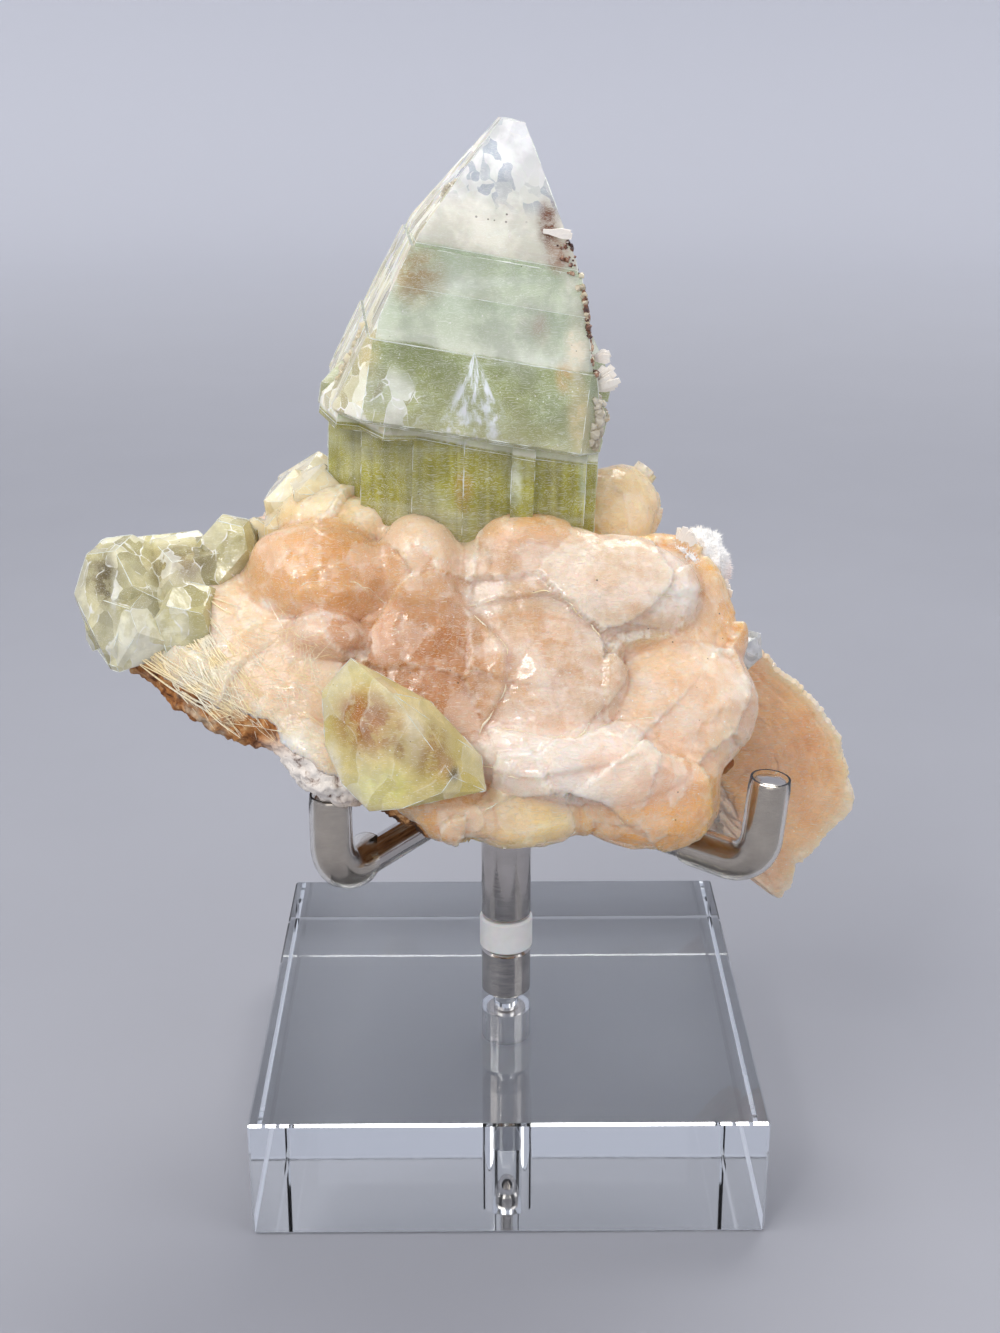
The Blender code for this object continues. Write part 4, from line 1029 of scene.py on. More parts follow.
def fan_blade(look, index, size, yaw, back):
    """One concave blade of fibres: fine arcs, a thin ragged rim and a paler lower tip."""
    rays, rings = 220, 76
    degrees = np.linspace(FAN_RAYS[0][0], FAN_RAYS[-1][0], rays)
    reach = np.interp(degrees, [ray[0] for ray in FAN_RAYS], [ray[1] for ray in FAN_RAYS])
    bm = bmesh.new()
    turn = Matrix.Rotation(math.radians(yaw), 3, "Z")
    grid, paint, grain = [], [], []
    for i in range(rays):
        angle = math.radians(degrees[i])
        ragged = 0.8 * noise.noise(Vector((degrees[i] * 0.09, back, 3))) + 0.45 * noise.noise(
            Vector((degrees[i] * 0.47, back, 7))) + 0.2 * noise.noise(Vector((degrees[i] * 1.9, back, 9)))
        row = []
        for j in range(rings):
            share = 0.22 + 0.78 * j / (rings - 1)
            radius = (reach[i] * size + ragged * share ** 6) * share
            arcs = 0.09 * noise.noise(Vector((share * 22.0, degrees[i] * 0.02, index)))
            arcs += 0.04 * noise.noise(Vector((share * 60.0, degrees[i] * 0.05, index)))
            pleats = 0.25 * noise.noise(Vector((degrees[i] * 0.14, share * 1.5, index)))
            dish = 5.0 - 3.5 * share * share + 0.35 * math.sin(share * 9) + arcs + pleats * share
            spot = turn @ Vector((math.cos(angle) * radius, dish + 0.10 * math.cos(angle) * radius,
                                  math.sin(angle) * radius))
            row.append(bm.verts.new(FAN_MIDDLE + spot + Vector((0, back, 0))))
            rim = max(0.0, (share - 0.9) / 0.1)
            tip = max(0.0, min(1.0, (-54 - degrees[i]) / 8)) * share
            tone = Vector(rgb(242, 180, 118)).lerp(Vector(rgb(255, 206, 148)), share)
            tone = tone.lerp(Vector(rgb(248, 222, 190)), 0.6 * rim)
            tone = tone.lerp(Vector(rgb(240, 208, 184)), 0.8 * tip)
            # The alpha is the share of pearly tone and painted sheen, most on the rim
            paint.append((*tone, 0.15 + 0.5 * rim))
            grain.append((radius * 1.5, degrees[i] * 0.09, 3.0 + index))
        grid.append(row)
    for here, there in zip(grid, grid[1:]):
        bridge(bm, here, there, around=False)
    blade = loose_object("blade", bm)
    set_attribute(blade.data, "tint", "FLOAT_COLOR", "color", np.array(paint))
    set_attribute(blade.data, "grain", "FLOAT_VECTOR", "vector", np.array(grain))
    set_attribute(blade.data, "crease_shade", "FLOAT", "value", np.zeros((len(paint), 1)))
    set_attribute(blade.data, "plates", "FLOAT_VECTOR", "vector", np.tile((0.5, 0.5, 0.0), (len(paint), 1)))
    thin = blade.vertex_groups.new(name="thick")
    for k in range(len(paint)):
        share = (k % rings) / (rings - 1)
        thin.add([k], 1.0 - 0.75 * share ** 3, "REPLACE")
    thick = blade.modifiers.new("thick", "SOLIDIFY")
    thick.thickness = FAN_THICKNESS
    thick.offset = 0.0
    thick.vertex_group = "thick"
    mesh = evaluated_mesh(blade)
    drop(blade)
    shade(mesh, 60)
    nodes = ("stilbite_fan",) if index == 0 else ()
    link_mesh(f"stilbite_fan_blade_{index}", mesh, look, nodes)


def tuft_look():
    look = Look("white_mordenite", {"Subsurface Weight": 0.15, "Subsurface Scale": 0.001, "Sheen Weight": 0.5,
                                    "Subsurface Radius": (1.0, 0.95, 0.9)})
    pink = look.spot(TUFT_MIDDLE + Vector((4.8, -1.0, -2.0)), (2.2, 6.0, 5.0), 0.2)
    look.set("Base Color", look.over(
        rgb(255, 254, 252),
        ((250, 222, 214), pink, 0.5),
        ((246, 238, 230), look.fit(look.noise(1.2, 3.0), 0.5, 0.7, 0.0, 0.3))))
    look.set("Roughness", look.fit(look.noise(2.0, 2.0), 0.3, 0.7, 0.75, 0.95))
    look.bumps((look.noise(3.5, 3.0), 0.10, 0.4))
    return look


def spike(bm, root, way, length, radius):
    """A thin pointed needle of three sides."""
    side = way.orthogonal().normalized() * radius
    other = way.cross(side).normalized() * radius
    foot = [bm.verts.new(root + side * math.cos(a) + other * math.sin(a)) for a in SPIKE_CORNERS]
    tip = bm.verts.new(root + way * length)
    for j in range(3):
        bm.faces.new((foot[j], foot[(j + 1) % 3], tip))
    bm.faces.new(foot[::-1])


def tuft_piece(look):
    """A white fuzzy lump with a smaller one in front of it, both covered in short fibres."""
    random.seed(11)
    bm = bmesh.new()
    lumps = ((TUFT_MIDDLE, 1.0, 4200), (TUFT_MIDDLE + Vector((-3.4, -5.8, 0.8)), 0.75, 2400))
    for middle, share, count in lumps:
        made = bmesh.ops.create_icosphere(bm, subdivisions=5, radius=1.0)["verts"]
        for vert in made:
            bumps = 0.93 + 0.22 * noise.noise(vert.co * 2.6) + 0.07 * noise.noise(vert.co * 7.0)
            vert.co = middle + Vector(vert.co[k] * TUFT_SIZE[k] * share * bumps for k in range(3))
        for _ in range(count):
            way = jitter(1).normalized()
            bumps = 0.93 + 0.22 * noise.noise(way * 2.6)
            root = middle + Vector(way[k] * TUFT_SIZE[k] * share * bumps * 0.97 for k in range(3))
            lean = (way + jitter(0.35)).normalized()
            spike(bm, root, lean, random.uniform(0.35, 0.9), 0.08)
    piece("white_tuft_fibres", bm, look, ("white_tuft",), smooth=60)


# Small growths: needles, rims, frost, veils, crystals and flakes


def jitter(spread):
    """A small random step in any direction."""
    return Vector([random.gauss(0, spread) for _ in range(3)])


def inside_stone(place):
    spot, way, _, _ = STONE_TREE.find_nearest(place)
    return (place - spot).dot(way) < 0


def on_stone(place, lift):
    spot, way, _, _ = STONE_TREE.find_nearest(place)
    return spot + way * lift


def lying_needle(bm, start, end, radius, bow, lift):
    """A needle that runs from one place to another, straight over hollows and just outside the stone."""
    steps = max(4, int((end - start).length / 0.9))
    side = (end - start).cross(Vector((0, -1, 0.4))).normalized()
    start, end = on_stone(start, lift), on_stone(end, lift * 0.3)
    route = []
    for i in range(steps + 1):
        share = i / steps
        place = start.lerp(end, share) + side * bow * math.sin(math.pi * share)
        spot, way, _, _ = STONE_TREE.find_nearest(place)
        out = (place - spot).dot(way)
        route.append(place + way * max(0.0, radius + lift * 0.5 - out))
    for _ in range(3):
        route[1:-1] = [(a + b * 2 + c) / 4 for a, b, c in zip(route, route[1:], route[2:])]
    radii = [radius * (1.0 - 0.75 * abs(2 * i / steps - 1) ** 3) for i in range(steps + 1)]
    sweep(bm, route, radii, 4)


def needle_look():
    look = Look("straw_needles", {"IOR": 1.5, "Coat Weight": 0.4, "Coat Roughness": 0.12})
    cloud = look.noise(0.35, 3.0)
    look.set("Base Color", look.mix(look.fit(cloud, 0.35, 0.65), rgb(248, 230, 184), rgb(255, 248, 226)))
    look.set("Transmission Weight", look.fit(cloud, 0.4, 0.7, 0.05, 0.25))
    look.set("Roughness", look.fit(look.noise(2.0, 2.0), 0.3, 0.7, 0.2, 0.4))
    look.bumps((look.noise(4.0, 2.0), 0.02, 0.4))
    return look


# Each spray of needles: where it begins, where it ends, how wide each end spreads, how many, and their radius
SPRAYS = (
    ((-50.0, -18.5, 100.0), (-36.0, -30.5, 81.0), 0.9, 2.4, 18, 0.15),
    ((-48.5, -18.0, 101.0), (-42.5, -25.5, 87.0), 0.8, 1.8, 10, 0.17),
    ((-46.0, -17.5, 99.0), (-40.0, -24.5, 92.0), 1.2, 2.0, 8, 0.13),
    ((-52.5, -23.0, 88.5), (-35.0, -31.5, 80.5), 1.2, 2.0, 14, 0.12),
    ((-50.0, -22.0, 91.0), (-38.0, -29.0, 83.0), 2.0, 2.6, 12, 0.10),
    ((-46.0, -19.0, 95.5), (-33.0, -33.0, 78.5), 1.0, 2.4, 14, 0.10),
    ((-43.0, -27.0, 84.0), (-37.0, -31.0, 78.5), 2.0, 1.4, 7, 0.12),
)


FELT_FIBRES = 340


def needle_sprays(look):
    random.seed(23)
    bm = bmesh.new()
    for start, end, near, far, count, radius in SPRAYS:
        for _ in range(count):
            first = Vector(start) + jitter(near)
            last = Vector(end) + jitter(far)
            last = first.lerp(last, random.uniform(0.65, 1.0))
            lying_needle(bm, first, last, radius * random.uniform(0.6, 1.2), random.uniform(-0.4, 1.0),
                         random.uniform(0.05, 0.35))
    piece("straw_needle_sprays", bm, look, smooth=50)
    bm = bmesh.new()
    for _ in range(FELT_FIBRES):
        middle = Vector((random.uniform(-42.0, -25.0), random.uniform(-36.0, -24.0),
                         random.uniform(79.0, 93.0)))
        aim = random.gauss(-0.5, 0.6)
        way = Vector((math.cos(aim), -0.25, math.sin(aim))) * random.uniform(1.0, 3.0)
        lying_needle(bm, middle - way, middle + way, random.uniform(0.025, 0.05), random.uniform(-0.3, 0.3),
                     random.uniform(0.0, 0.06))
    piece("felted_fibres", bm, look, smooth=50)


def ledge_rims(look):
    """Thin pale rims on the stilbite's crisp edges, broken here and there."""
    bm = bmesh.new()
    for line, height, _ in LEDGES:
        route, radii = [], []
        for place in evenly([Vector(spot) for spot in line], 0.45) + [None]:
            strength = -1.0 if place is None else noise.noise(place * 0.5) + 0.3 * noise.noise(place * 1.9)
            if strength > -0.12:
                route.append(on_stone(place + noise.noise_vector(place * 0.8) * 0.35, 0.02))
                radii.append(0.16 * height * (0.35 + strength))
            elif route:
                if len(route) > 3:
                    radii[0] = radii[-1] = 0.02
                    sweep(bm, route, radii, 5)
                route, radii = [], []
    piece("pale_ledge_rims", bm, look, smooth=80)


def crystal_edges(node):
    """The sharp outer edges of a crystal node, in mm."""
    least_length, least_angle = 1.0, 14.0
    bm = node_bmesh(node)
    bmesh.ops.remove_doubles(bm, verts=bm.verts, dist=0.002)
    bmesh.ops.dissolve_limit(bm, angle_limit=math.radians(1.0), verts=bm.verts, edges=bm.edges)
    found = []
    for edge in bm.edges:
        if len(edge.link_faces) == 2 and edge.calc_face_angle_signed() > math.radians(least_angle):
            if edge.calc_length() > least_length:
                found.append((edge.verts[0].co.copy(), edge.verts[1].co.copy()))
    bm.free()
    return found


def frost_look():
    look = Look("frosted_edges", {"IOR": 1.45, "Coat Weight": 0.4, "Coat Roughness": 0.1})
    cloud = look.noise(0.8, 3.0)
    look.set("Base Color", look.mix(cloud, rgb(226, 236, 222), rgb(250, 252, 248)))
    look.set("Transmission Weight", look.fit(cloud, 0.35, 0.65, 0.05, 0.35))
    look.set("Roughness", look.fit(cloud, 0.3, 0.7, 0.12, 0.4))
    look.bumps((look.noise(3.0, 2.0), 0.05, 0.5))
    return look


def edge_frost(name, node, look, size):
    """Chipped, frosty slivers along a crystal's outer edges."""
    bm = bmesh.new()
    for start, end in crystal_edges(node):
        run = []
        for place in evenly([start, end], 0.5):
            strength = noise.noise(place * 0.45) + 0.35 * noise.noise(place * 1.7)
            hidden = inside_stone(place)
            if strength > -0.18 and not hidden:
                wander = noise.noise_vector(place * 1.3) * 0.05
                run.append((place + wander, size * (0.35 + max(0.0, strength))))
            if (strength <= -0.18 or hidden or place == end) and run:
                if len(run) > 2:
                    radii = [radius for _, radius in run]
                    radii[0] = radii[-1] = size * 0.1
                    sweep(bm, [spot for spot, _ in run], radii, 5)
                run = []
    piece(name, bm, look, smooth=70)


def veil_look():
    look = Look("inner_veils", {"IOR": 1.2, "Specular IOR Level": 0.8})
    wisps = look.noise(0.8, 5.0, 0.65, distort=0.8)
    look.set("Base Color", look.mix(wisps, rgb(226, 238, 236), rgb(252, 254, 255)))
    look.set("Roughness", look.fit(wisps, 0.3, 0.7, 0.12, 0.45))
    look.set("Alpha", look.fit(wisps, 0.44, 0.72, 0.0, 0.6))
    look.bumps((look.noise(1.6, 4.0), 0.3, 0.8))
    return look


def veil(bm, middle, way, wide, tall, seed):
    """An irregular curved sheet: a healed crack inside a crystal."""
    right = way.orthogonal().normalized()
    up = way.cross(right).normalized()
    rings, rays = 5, 22
    centre = bm.verts.new(middle)
    last = [centre] * rays
    for i in range(1, rings + 1):
        ring = []
        for j in range(rays):
            angle = 2 * math.pi * j / rays
            rim = 0.75 + 0.45 * noise.noise(Vector((math.cos(angle) * 1.4, math.sin(angle) * 1.4, seed)))
            across, high = math.cos(angle) * wide * rim * i / rings, math.sin(angle) * tall * rim * i / rings
            bend = 0.16 * wide * noise.noise(Vector((across * 0.25, high * 0.25, seed + 5)))
            ring.append(bm.verts.new(middle + right * across + up * high + way * bend))
        for j in range(rays):
            k = (j + 1) % rays
            corners = [last[j], ring[j], ring[k]] + ([last[k]] if i > 1 else [])
            bm.faces.new(corners)
        last = ring


# The veils seen in the photograph: middle, half width, half height, azimuth and rise of their face
MAIN_VEILS = (
    ((-5.5, -11.0, 121.5), 3.6, 4.4, 20, 30), ((-3.0, -10.0, 124.0), 2.2, 4.0, -30, 10),
    ((-8.0, -11.5, 119.5), 2.4, 3.4, 50, 20), ((-15.5, -9.5, 122.0), 2.6, 3.6, -40, 25),
    ((-17.5, -9.0, 120.5), 2.0, 3.2, 15, 15), ((-13.0, -9.0, 133.0), 2.8, 2.0, -20, 40),
    ((0.5, -5.5, 146.5), 2.4, 3.6, 25, 20), ((-1.5, -4.0, 150.0), 1.6, 3.2, -35, 10),
    ((3.4, -5.5, 141.5), 3.2, 1.2, 10, 50), ((-3.0, -8.5, 137.5), 4.4, 1.6, 0, 60),
    ((3.0, -9.0, 126.5), 2.2, 4.8, 70, 10), ((7.5, -8.0, 121.0), 1.8, 4.4, 60, 5),
    ((-10.0, -4.0, 127.0), 3.6, 5.0, -60, 15), ((-2.0, 4.0, 126.0), 5.0, 5.0, 170, 20),
    ((4.0, 5.0, 120.0), 4.0, 4.6, 140, 10), ((-12.0, 6.0, 121.0), 4.4, 4.4, 210, 15),
    ((-9.0, -12.5, 107.0), 1.6, 4.0, 40, 0), ((1.5, -12.5, 106.5), 1.2, 4.4, -20, 0),
    ((6.5, -10.5, 107.5), 1.6, 3.6, 30, 5), ((-15.0, -10.0, 107.0), 1.8, 3.8, -30, 5),
)
OTHER_VEILS = (
    ((-54.0, -18.0, 95.0), 2.6, 4.4, -60, 20), ((-50.5, -20.0, 92.0), 3.2, 3.0, 10, 30),
    ((-47.0, -17.5, 96.0), 3.0, 2.6, 40, 40), ((-44.5, -16.0, 97.5), 2.4, 2.0, -20, 30),
    ((-16.0, -38.5, 80.5), 3.0, 4.6, 30, 20), ((-11.0, -38.0, 78.5), 2.0, 4.6, -30, 30),
    ((-20.0, -37.5, 83.0), 2.2, 3.0, 60, 20), ((-7.0, -37.0, 75.5), 1.8, 2.2, 10, 40),
    ((-27.0, -8.5, 107.0), 2.0, 3.2, 20, 10), ((-32.0, -6.5, 104.0), 1.8, 2.8, -30, 10),
    ((-36.5, -8.0, 100.5), 1.4, 2.0, 10, 10), ((36.0, -9.0, 82.5), 1.2, 1.6, 20, 20),
)


def inner_veils(look):
    bm = bmesh.new()
    for seed, (middle, wide, tall, azimuth, rise) in enumerate(MAIN_VEILS + OTHER_VEILS):
        veil(bm, Vector(middle), facing(azimuth, rise), wide, tall, seed * 3.7)
    piece("inner_crystal_veils", bm, look, smooth=80)


def small_crystal(bm, place, way, size, turn):
    """A stubby square crystal with a blunt pyramid."""
    side = way.orthogonal().normalized()
    side.rotate(Matrix.Rotation(turn, 3, way))
    other = way.cross(side)
    rings = []
    for height, half in ((-0.7, 1.0), (0.5, 1.0), (1.15, 0.28)):
        ring = []
        for across, up in ((1, 1), (-1, 1), (-1, -1), (1, -1)):
            out = (side * across + other * up) * half * size
            ring.append(bm.verts.new(place + way * height * size + out))
        rings.append(ring)
    for here, there in zip(rings, rings[1:]):
        bridge(bm, here, there)
    bm.faces.new(rings[0][::-1])
    bm.faces.new(rings[-1])


# Rows of small crystals on the main crystal: the row's line, how many, their size, how far they scatter
CREAM_ROWS = (
    (((10.4, -12.5, 137.0), (12.4, -13.5, 126.0)), 26, 0.30, 1.4),
    (((12.6, -14.0, 120.0), (12.2, -16.0, 114.5)), 22, 0.62, 0.9),
    (((15.0, -4.0, 126.0), (15.6, -6.0, 114.5)), 24, 0.42, 1.5),
    (((-11.2, -5.0, 148.6), (-8.6, -6.0, 150.4)), 9, 0.36, 0.6),
    (((-20.5, -8.0, 131.5), (-24.5, -8.0, 122.0)), 12, 0.5, 1.3),
    (((11.0, 6.0, 134.0), (14.0, 10.0, 116.0)), 24, 0.5, 1.8),
    (((-2.0, 12.0, 133.0), (-10.0, 15.0, 118.0)), 26, 0.5, 2.4),
)
BROWN_ROWS = (
    (((11.2, -11.5, 134.5), (13.2, -12.5, 125.0)), 80, 0.36, 1.5),
    (((7.6, -9.5, 142.5), (9.6, -10.5, 137.0)), 26, 0.24, 1.2),
)


def crystal_rows(name, rows, look):
    random.seed(5)
    mesh = NODES["apophyllite_main"].data.copy()
    mesh.transform(FROM_FRAME)
    tree = tree_of(mesh)
    bm = bmesh.new()
    for (start, end), count, size, scatter in rows:
        for _ in range(count):
            place = Vector(start).lerp(Vector(end), random.random())
            place += jitter(scatter * 0.6)
            spot, way, _, _ = tree.find_nearest(place)
            lean = (way + jitter(0.45)).normalized()
            small_crystal(bm, spot, lean, size * random.uniform(0.5, 1.35), random.uniform(0, 1.5))
    piece(name, bm, look)


def brown_look():
    look = Look("brown_crust", {"Coat Weight": 0.4, "Coat Roughness": 0.1})
    cloud = look.noise(0.7, 4.0, 0.6)
    look.set("Base Color", look.ramp(cloud, (0.36, rgb(66, 40, 32)), (0.5, rgb(128, 84, 62)),
                                     (0.64, rgb(206, 176, 148))))
    look.set("Roughness", look.fit(cloud, 0.35, 0.65, 0.2, 0.5))
    look.bumps((look.noise(2.5, 3.0), 0.08, 0.6))
    return look


def white_flakes(look):
    """The fan of thin white blades at the main crystal's right, and smaller ones by the tuft."""
    random.seed(8)
    bm = bmesh.new()
    for root, spread, count, length, aim in (
        ((11.2, -12.6, 121.4), 26, 9, 4.8, 32), ((12.0, -12.0, 126.0), 16, 4, 2.2, 20),
        ((4.8, -9.4, 142.9), 2, 2, 4.2, -7),
        ((24.5, -13.0, 99.0), 30, 7, 3.4, 60), ((29.5, -12.0, 92.0), 24, 6, 3.0, 10),
    ):
        for i in range(count):
            tilt = math.radians(aim + spread * (i / (count - 1) - 0.5) * 2 + random.uniform(-4, 4))
            way = Vector((math.cos(tilt), random.uniform(-0.25, 0.15), math.sin(tilt))).normalized()
            broad = way.cross(Vector((0, 1, 0.2))).normalized() * random.uniform(0.4, 0.85)
            thick = way.cross(broad).normalized() * 0.13
            start = Vector(root) + broad * random.uniform(-0.6, 0.6)
            end = start + way * length * random.uniform(0.75, 1.0)
            corners = []
            for place, half in ((start, 0.35), (start.lerp(end, 0.65), 1.0), (end, 0.7)):
                for a, b in ((1, 1), (-1, 1), (-1, -1), (1, -1)):
                    corners.append(bm.verts.new(place + broad * half * a + thick * b))
            bridge(bm, corners[:4], corners[4:8])
            bridge(bm, corners[4:8], corners[8:])
            bm.faces.new(corners[:4][::-1])
            bm.faces.new(corners[8:])
    piece("white_blade_flakes", bm, look)


def flake_look():
    look = Look("white_flakes", {"IOR": 1.5, "Coat Weight": 0.4, "Coat Roughness": 0.1})
    streaks = look.noise(1.2, 4.0)
    look.set("Base Color", look.mix(streaks, rgb(246, 236, 222), rgb(255, 252, 246)))
    look.set("Transmission Weight", look.fit(streaks, 0.4, 0.7, 0.0, 0.12))
    look.set("Roughness", look.fit(streaks, 0.3, 0.7, 0.15, 0.4))
    look.bumps((look.noise(4.0, 2.0), 0.03, 0.5))
    return look


# The crystals


def crystal_look(name, base, glow, absorb, density, clear, facets, patches):
    """See-through crystal with soft cloudy zones, stains and painted glints.

    clear is how much light passes, from the least to the most. facets says how many mm the facets of its
    jumbled inside are across, how strongly each is painted darker or lighter as light would fall on it, how
    they tilt and how bright the pale lines on their edges are, partly chipped and partly painted highlight.
    """
    look = Look(name, {"IOR": 1.537, "Coat Weight": 0.3, "Coat Roughness": 0.03,
                       "Subsurface Weight": 0.5, "Subsurface Scale": 0.005,
                       "Subsurface Radius": (1.0, 0.95, 0.75)})
    cloud = look.noise(0.10, 4.0, 0.55)
    wisps = look.noise(0.22, 4.0, 0.6)
    threads = look.hairs(1.6, 0.08, ((0, -50, 10), (0, 30, -20)), 0.64, 0.69)
    colour = look.patched(look.mix(look.fit(cloud, 0.35, 0.65), base, glow), wisps, patches)
    size, facet_shading, tilt, edges = facets
    tone, line = look.jumble(size, 0.03, look.stretched((1.0, 1.0, 0.6), (0, 24, 0)))
    facet = look.part(tone, "X")
    # Each facet painted darker or lighter by its own tone, as light would fall on it: painted shade and
    # highlight
    dark = tuple(part * 0.42 for part in base)
    colour = look.mix(look.fit(facet, 0.45, 0.0, 0.0, facet_shading), colour, dark)
    colour = look.over(colour, ((250, 250, 240), look.fit(facet, 0.6, 1.0, 0.0, facet_shading)))
    broken = look.fit(look.noise(0.6, 2.0), 0.45, 0.6)
    # Pale lines where facets meet, partly chipped and partly painted highlight; threads; painted glints as
    # tiny white dots; dark specks
    colour = look.over(
        colour,
        ((252, 252, 244), line, broken, edges),
        ((250, 250, 240), threads, 0.5),
        ((255, 255, 250), look.dots(0.9, 0.11), 0.85),
        ((84, 66, 46), look.dots(0.5, 0.06, 0.1), 0.8))
    look.set("Base Color", colour)
    look.set("Transmission Weight", look.fit(wisps, 0.40, 0.66, clear[1], clear[0]))
    look.set("Roughness", look.fit(cloud, 0.35, 0.7, 0.03, 0.12))
    ripple = look.noise(0.5, 3.0, 0.5, vector=look.stretched((1.4, 1.4, 0.25), (4, -8, 0)))
    look.bumps((ripple, 0.10, 0.3), (look.noise(2.4, 3.0), 0.02, 0.25), normal=look.tilted(tone, tilt))
    look.absorb(absorb, density)
    return look


# The main crystal's colours by height along its axis, in mm above the waist between prism and pyramid
# The thin pale band from -0.25 is a painted highlight on the pyramid's rounded lower edge
MAIN_ZONES = (
    (-16.0, (160, 158, 50)), (-8.0, (168, 166, 60)), (-1.6, (170, 168, 76)), (-0.5, (164, 164, 80)),
    (-0.25, (242, 242, 218)), (0.4, (222, 226, 190)), (1.2, (192, 192, 138)), (5.0, (174, 178, 120)),
    (11.4, (158, 168, 112)), (12.0, (164, 172, 120)), (12.3, (226, 230, 212)), (14.5, (212, 220, 196)),
    (19.0, (192, 206, 176)), (19.3, (212, 220, 196)), (24.8, (188, 202, 170)), (25.2, (230, 226, 210)),
    (31.0, (246, 242, 230)), (36.0, (255, 255, 252)), (42.0, (244, 246, 250)), (43.6, (232, 206, 190)))
MAIN_LOW, MAIN_TALL = -16.0, 60.0
# Stains on the main crystal: place, size, colour and share
MAIN_STAINS = (
    ((-12.5, -13.5, 137.4), (5.4, 8.0, 5.6), (184, 156, 106), 0.9),
    ((-16.0, -17.5, 122.6), (3.0, 4.0, 3.6), (244, 248, 234), 0.5),
    ((5.6, -17.0, 120.0), (4.6, 4.0, 4.6), (160, 172, 128), 0.6),
    ((5.6, -8.6, 143.6), (2.2, 5.0, 5.4), (132, 82, 58), 1.0),
    ((6.8, -10.0, 139.6), (2.4, 5.0, 3.4), (176, 128, 98), 0.8),
    ((9.6, -16.5, 118.5), (2.2, 5.0, 7.5), (238, 220, 172), 0.95),
    ((9.4, -14.0, 128.0), (2.3, 5.0, 7.0), (246, 234, 208), 0.95),
    ((8.4, -11.5, 135.5), (1.9, 5.0, 4.0), (232, 232, 214), 0.8),
    ((7.6, -16.0, 124.0), (1.7, 4.0, 3.0), (226, 182, 124), 0.6),
    ((4.4, -15.0, 130.5), (2.0, 4.0, 3.2), (206, 176, 160), 0.5),
    ((-18.8, -15.0, 127.5), (2.6, 9.0, 5.0), (214, 196, 142), 0.7),
    ((2.5, -11.5, 131.0), (3.6, 5.0, 4.0), (212, 200, 192), 0.4),
    ((-6.2, -17.0, 108.3), (2.0, 5.0, 4.2), (202, 164, 70), 0.7),
    ((1.0, -17.6, 109.6), (1.3, 4.0, 4.6), (224, 230, 200), 0.95),
    ((6.4, -15.6, 109.0), (3.0, 5.0, 4.8), (148, 142, 62), 0.6),
    ((10.4, -14.0, 109.0), (0.9, 4.0, 5.0), (206, 220, 180), 0.9),
)


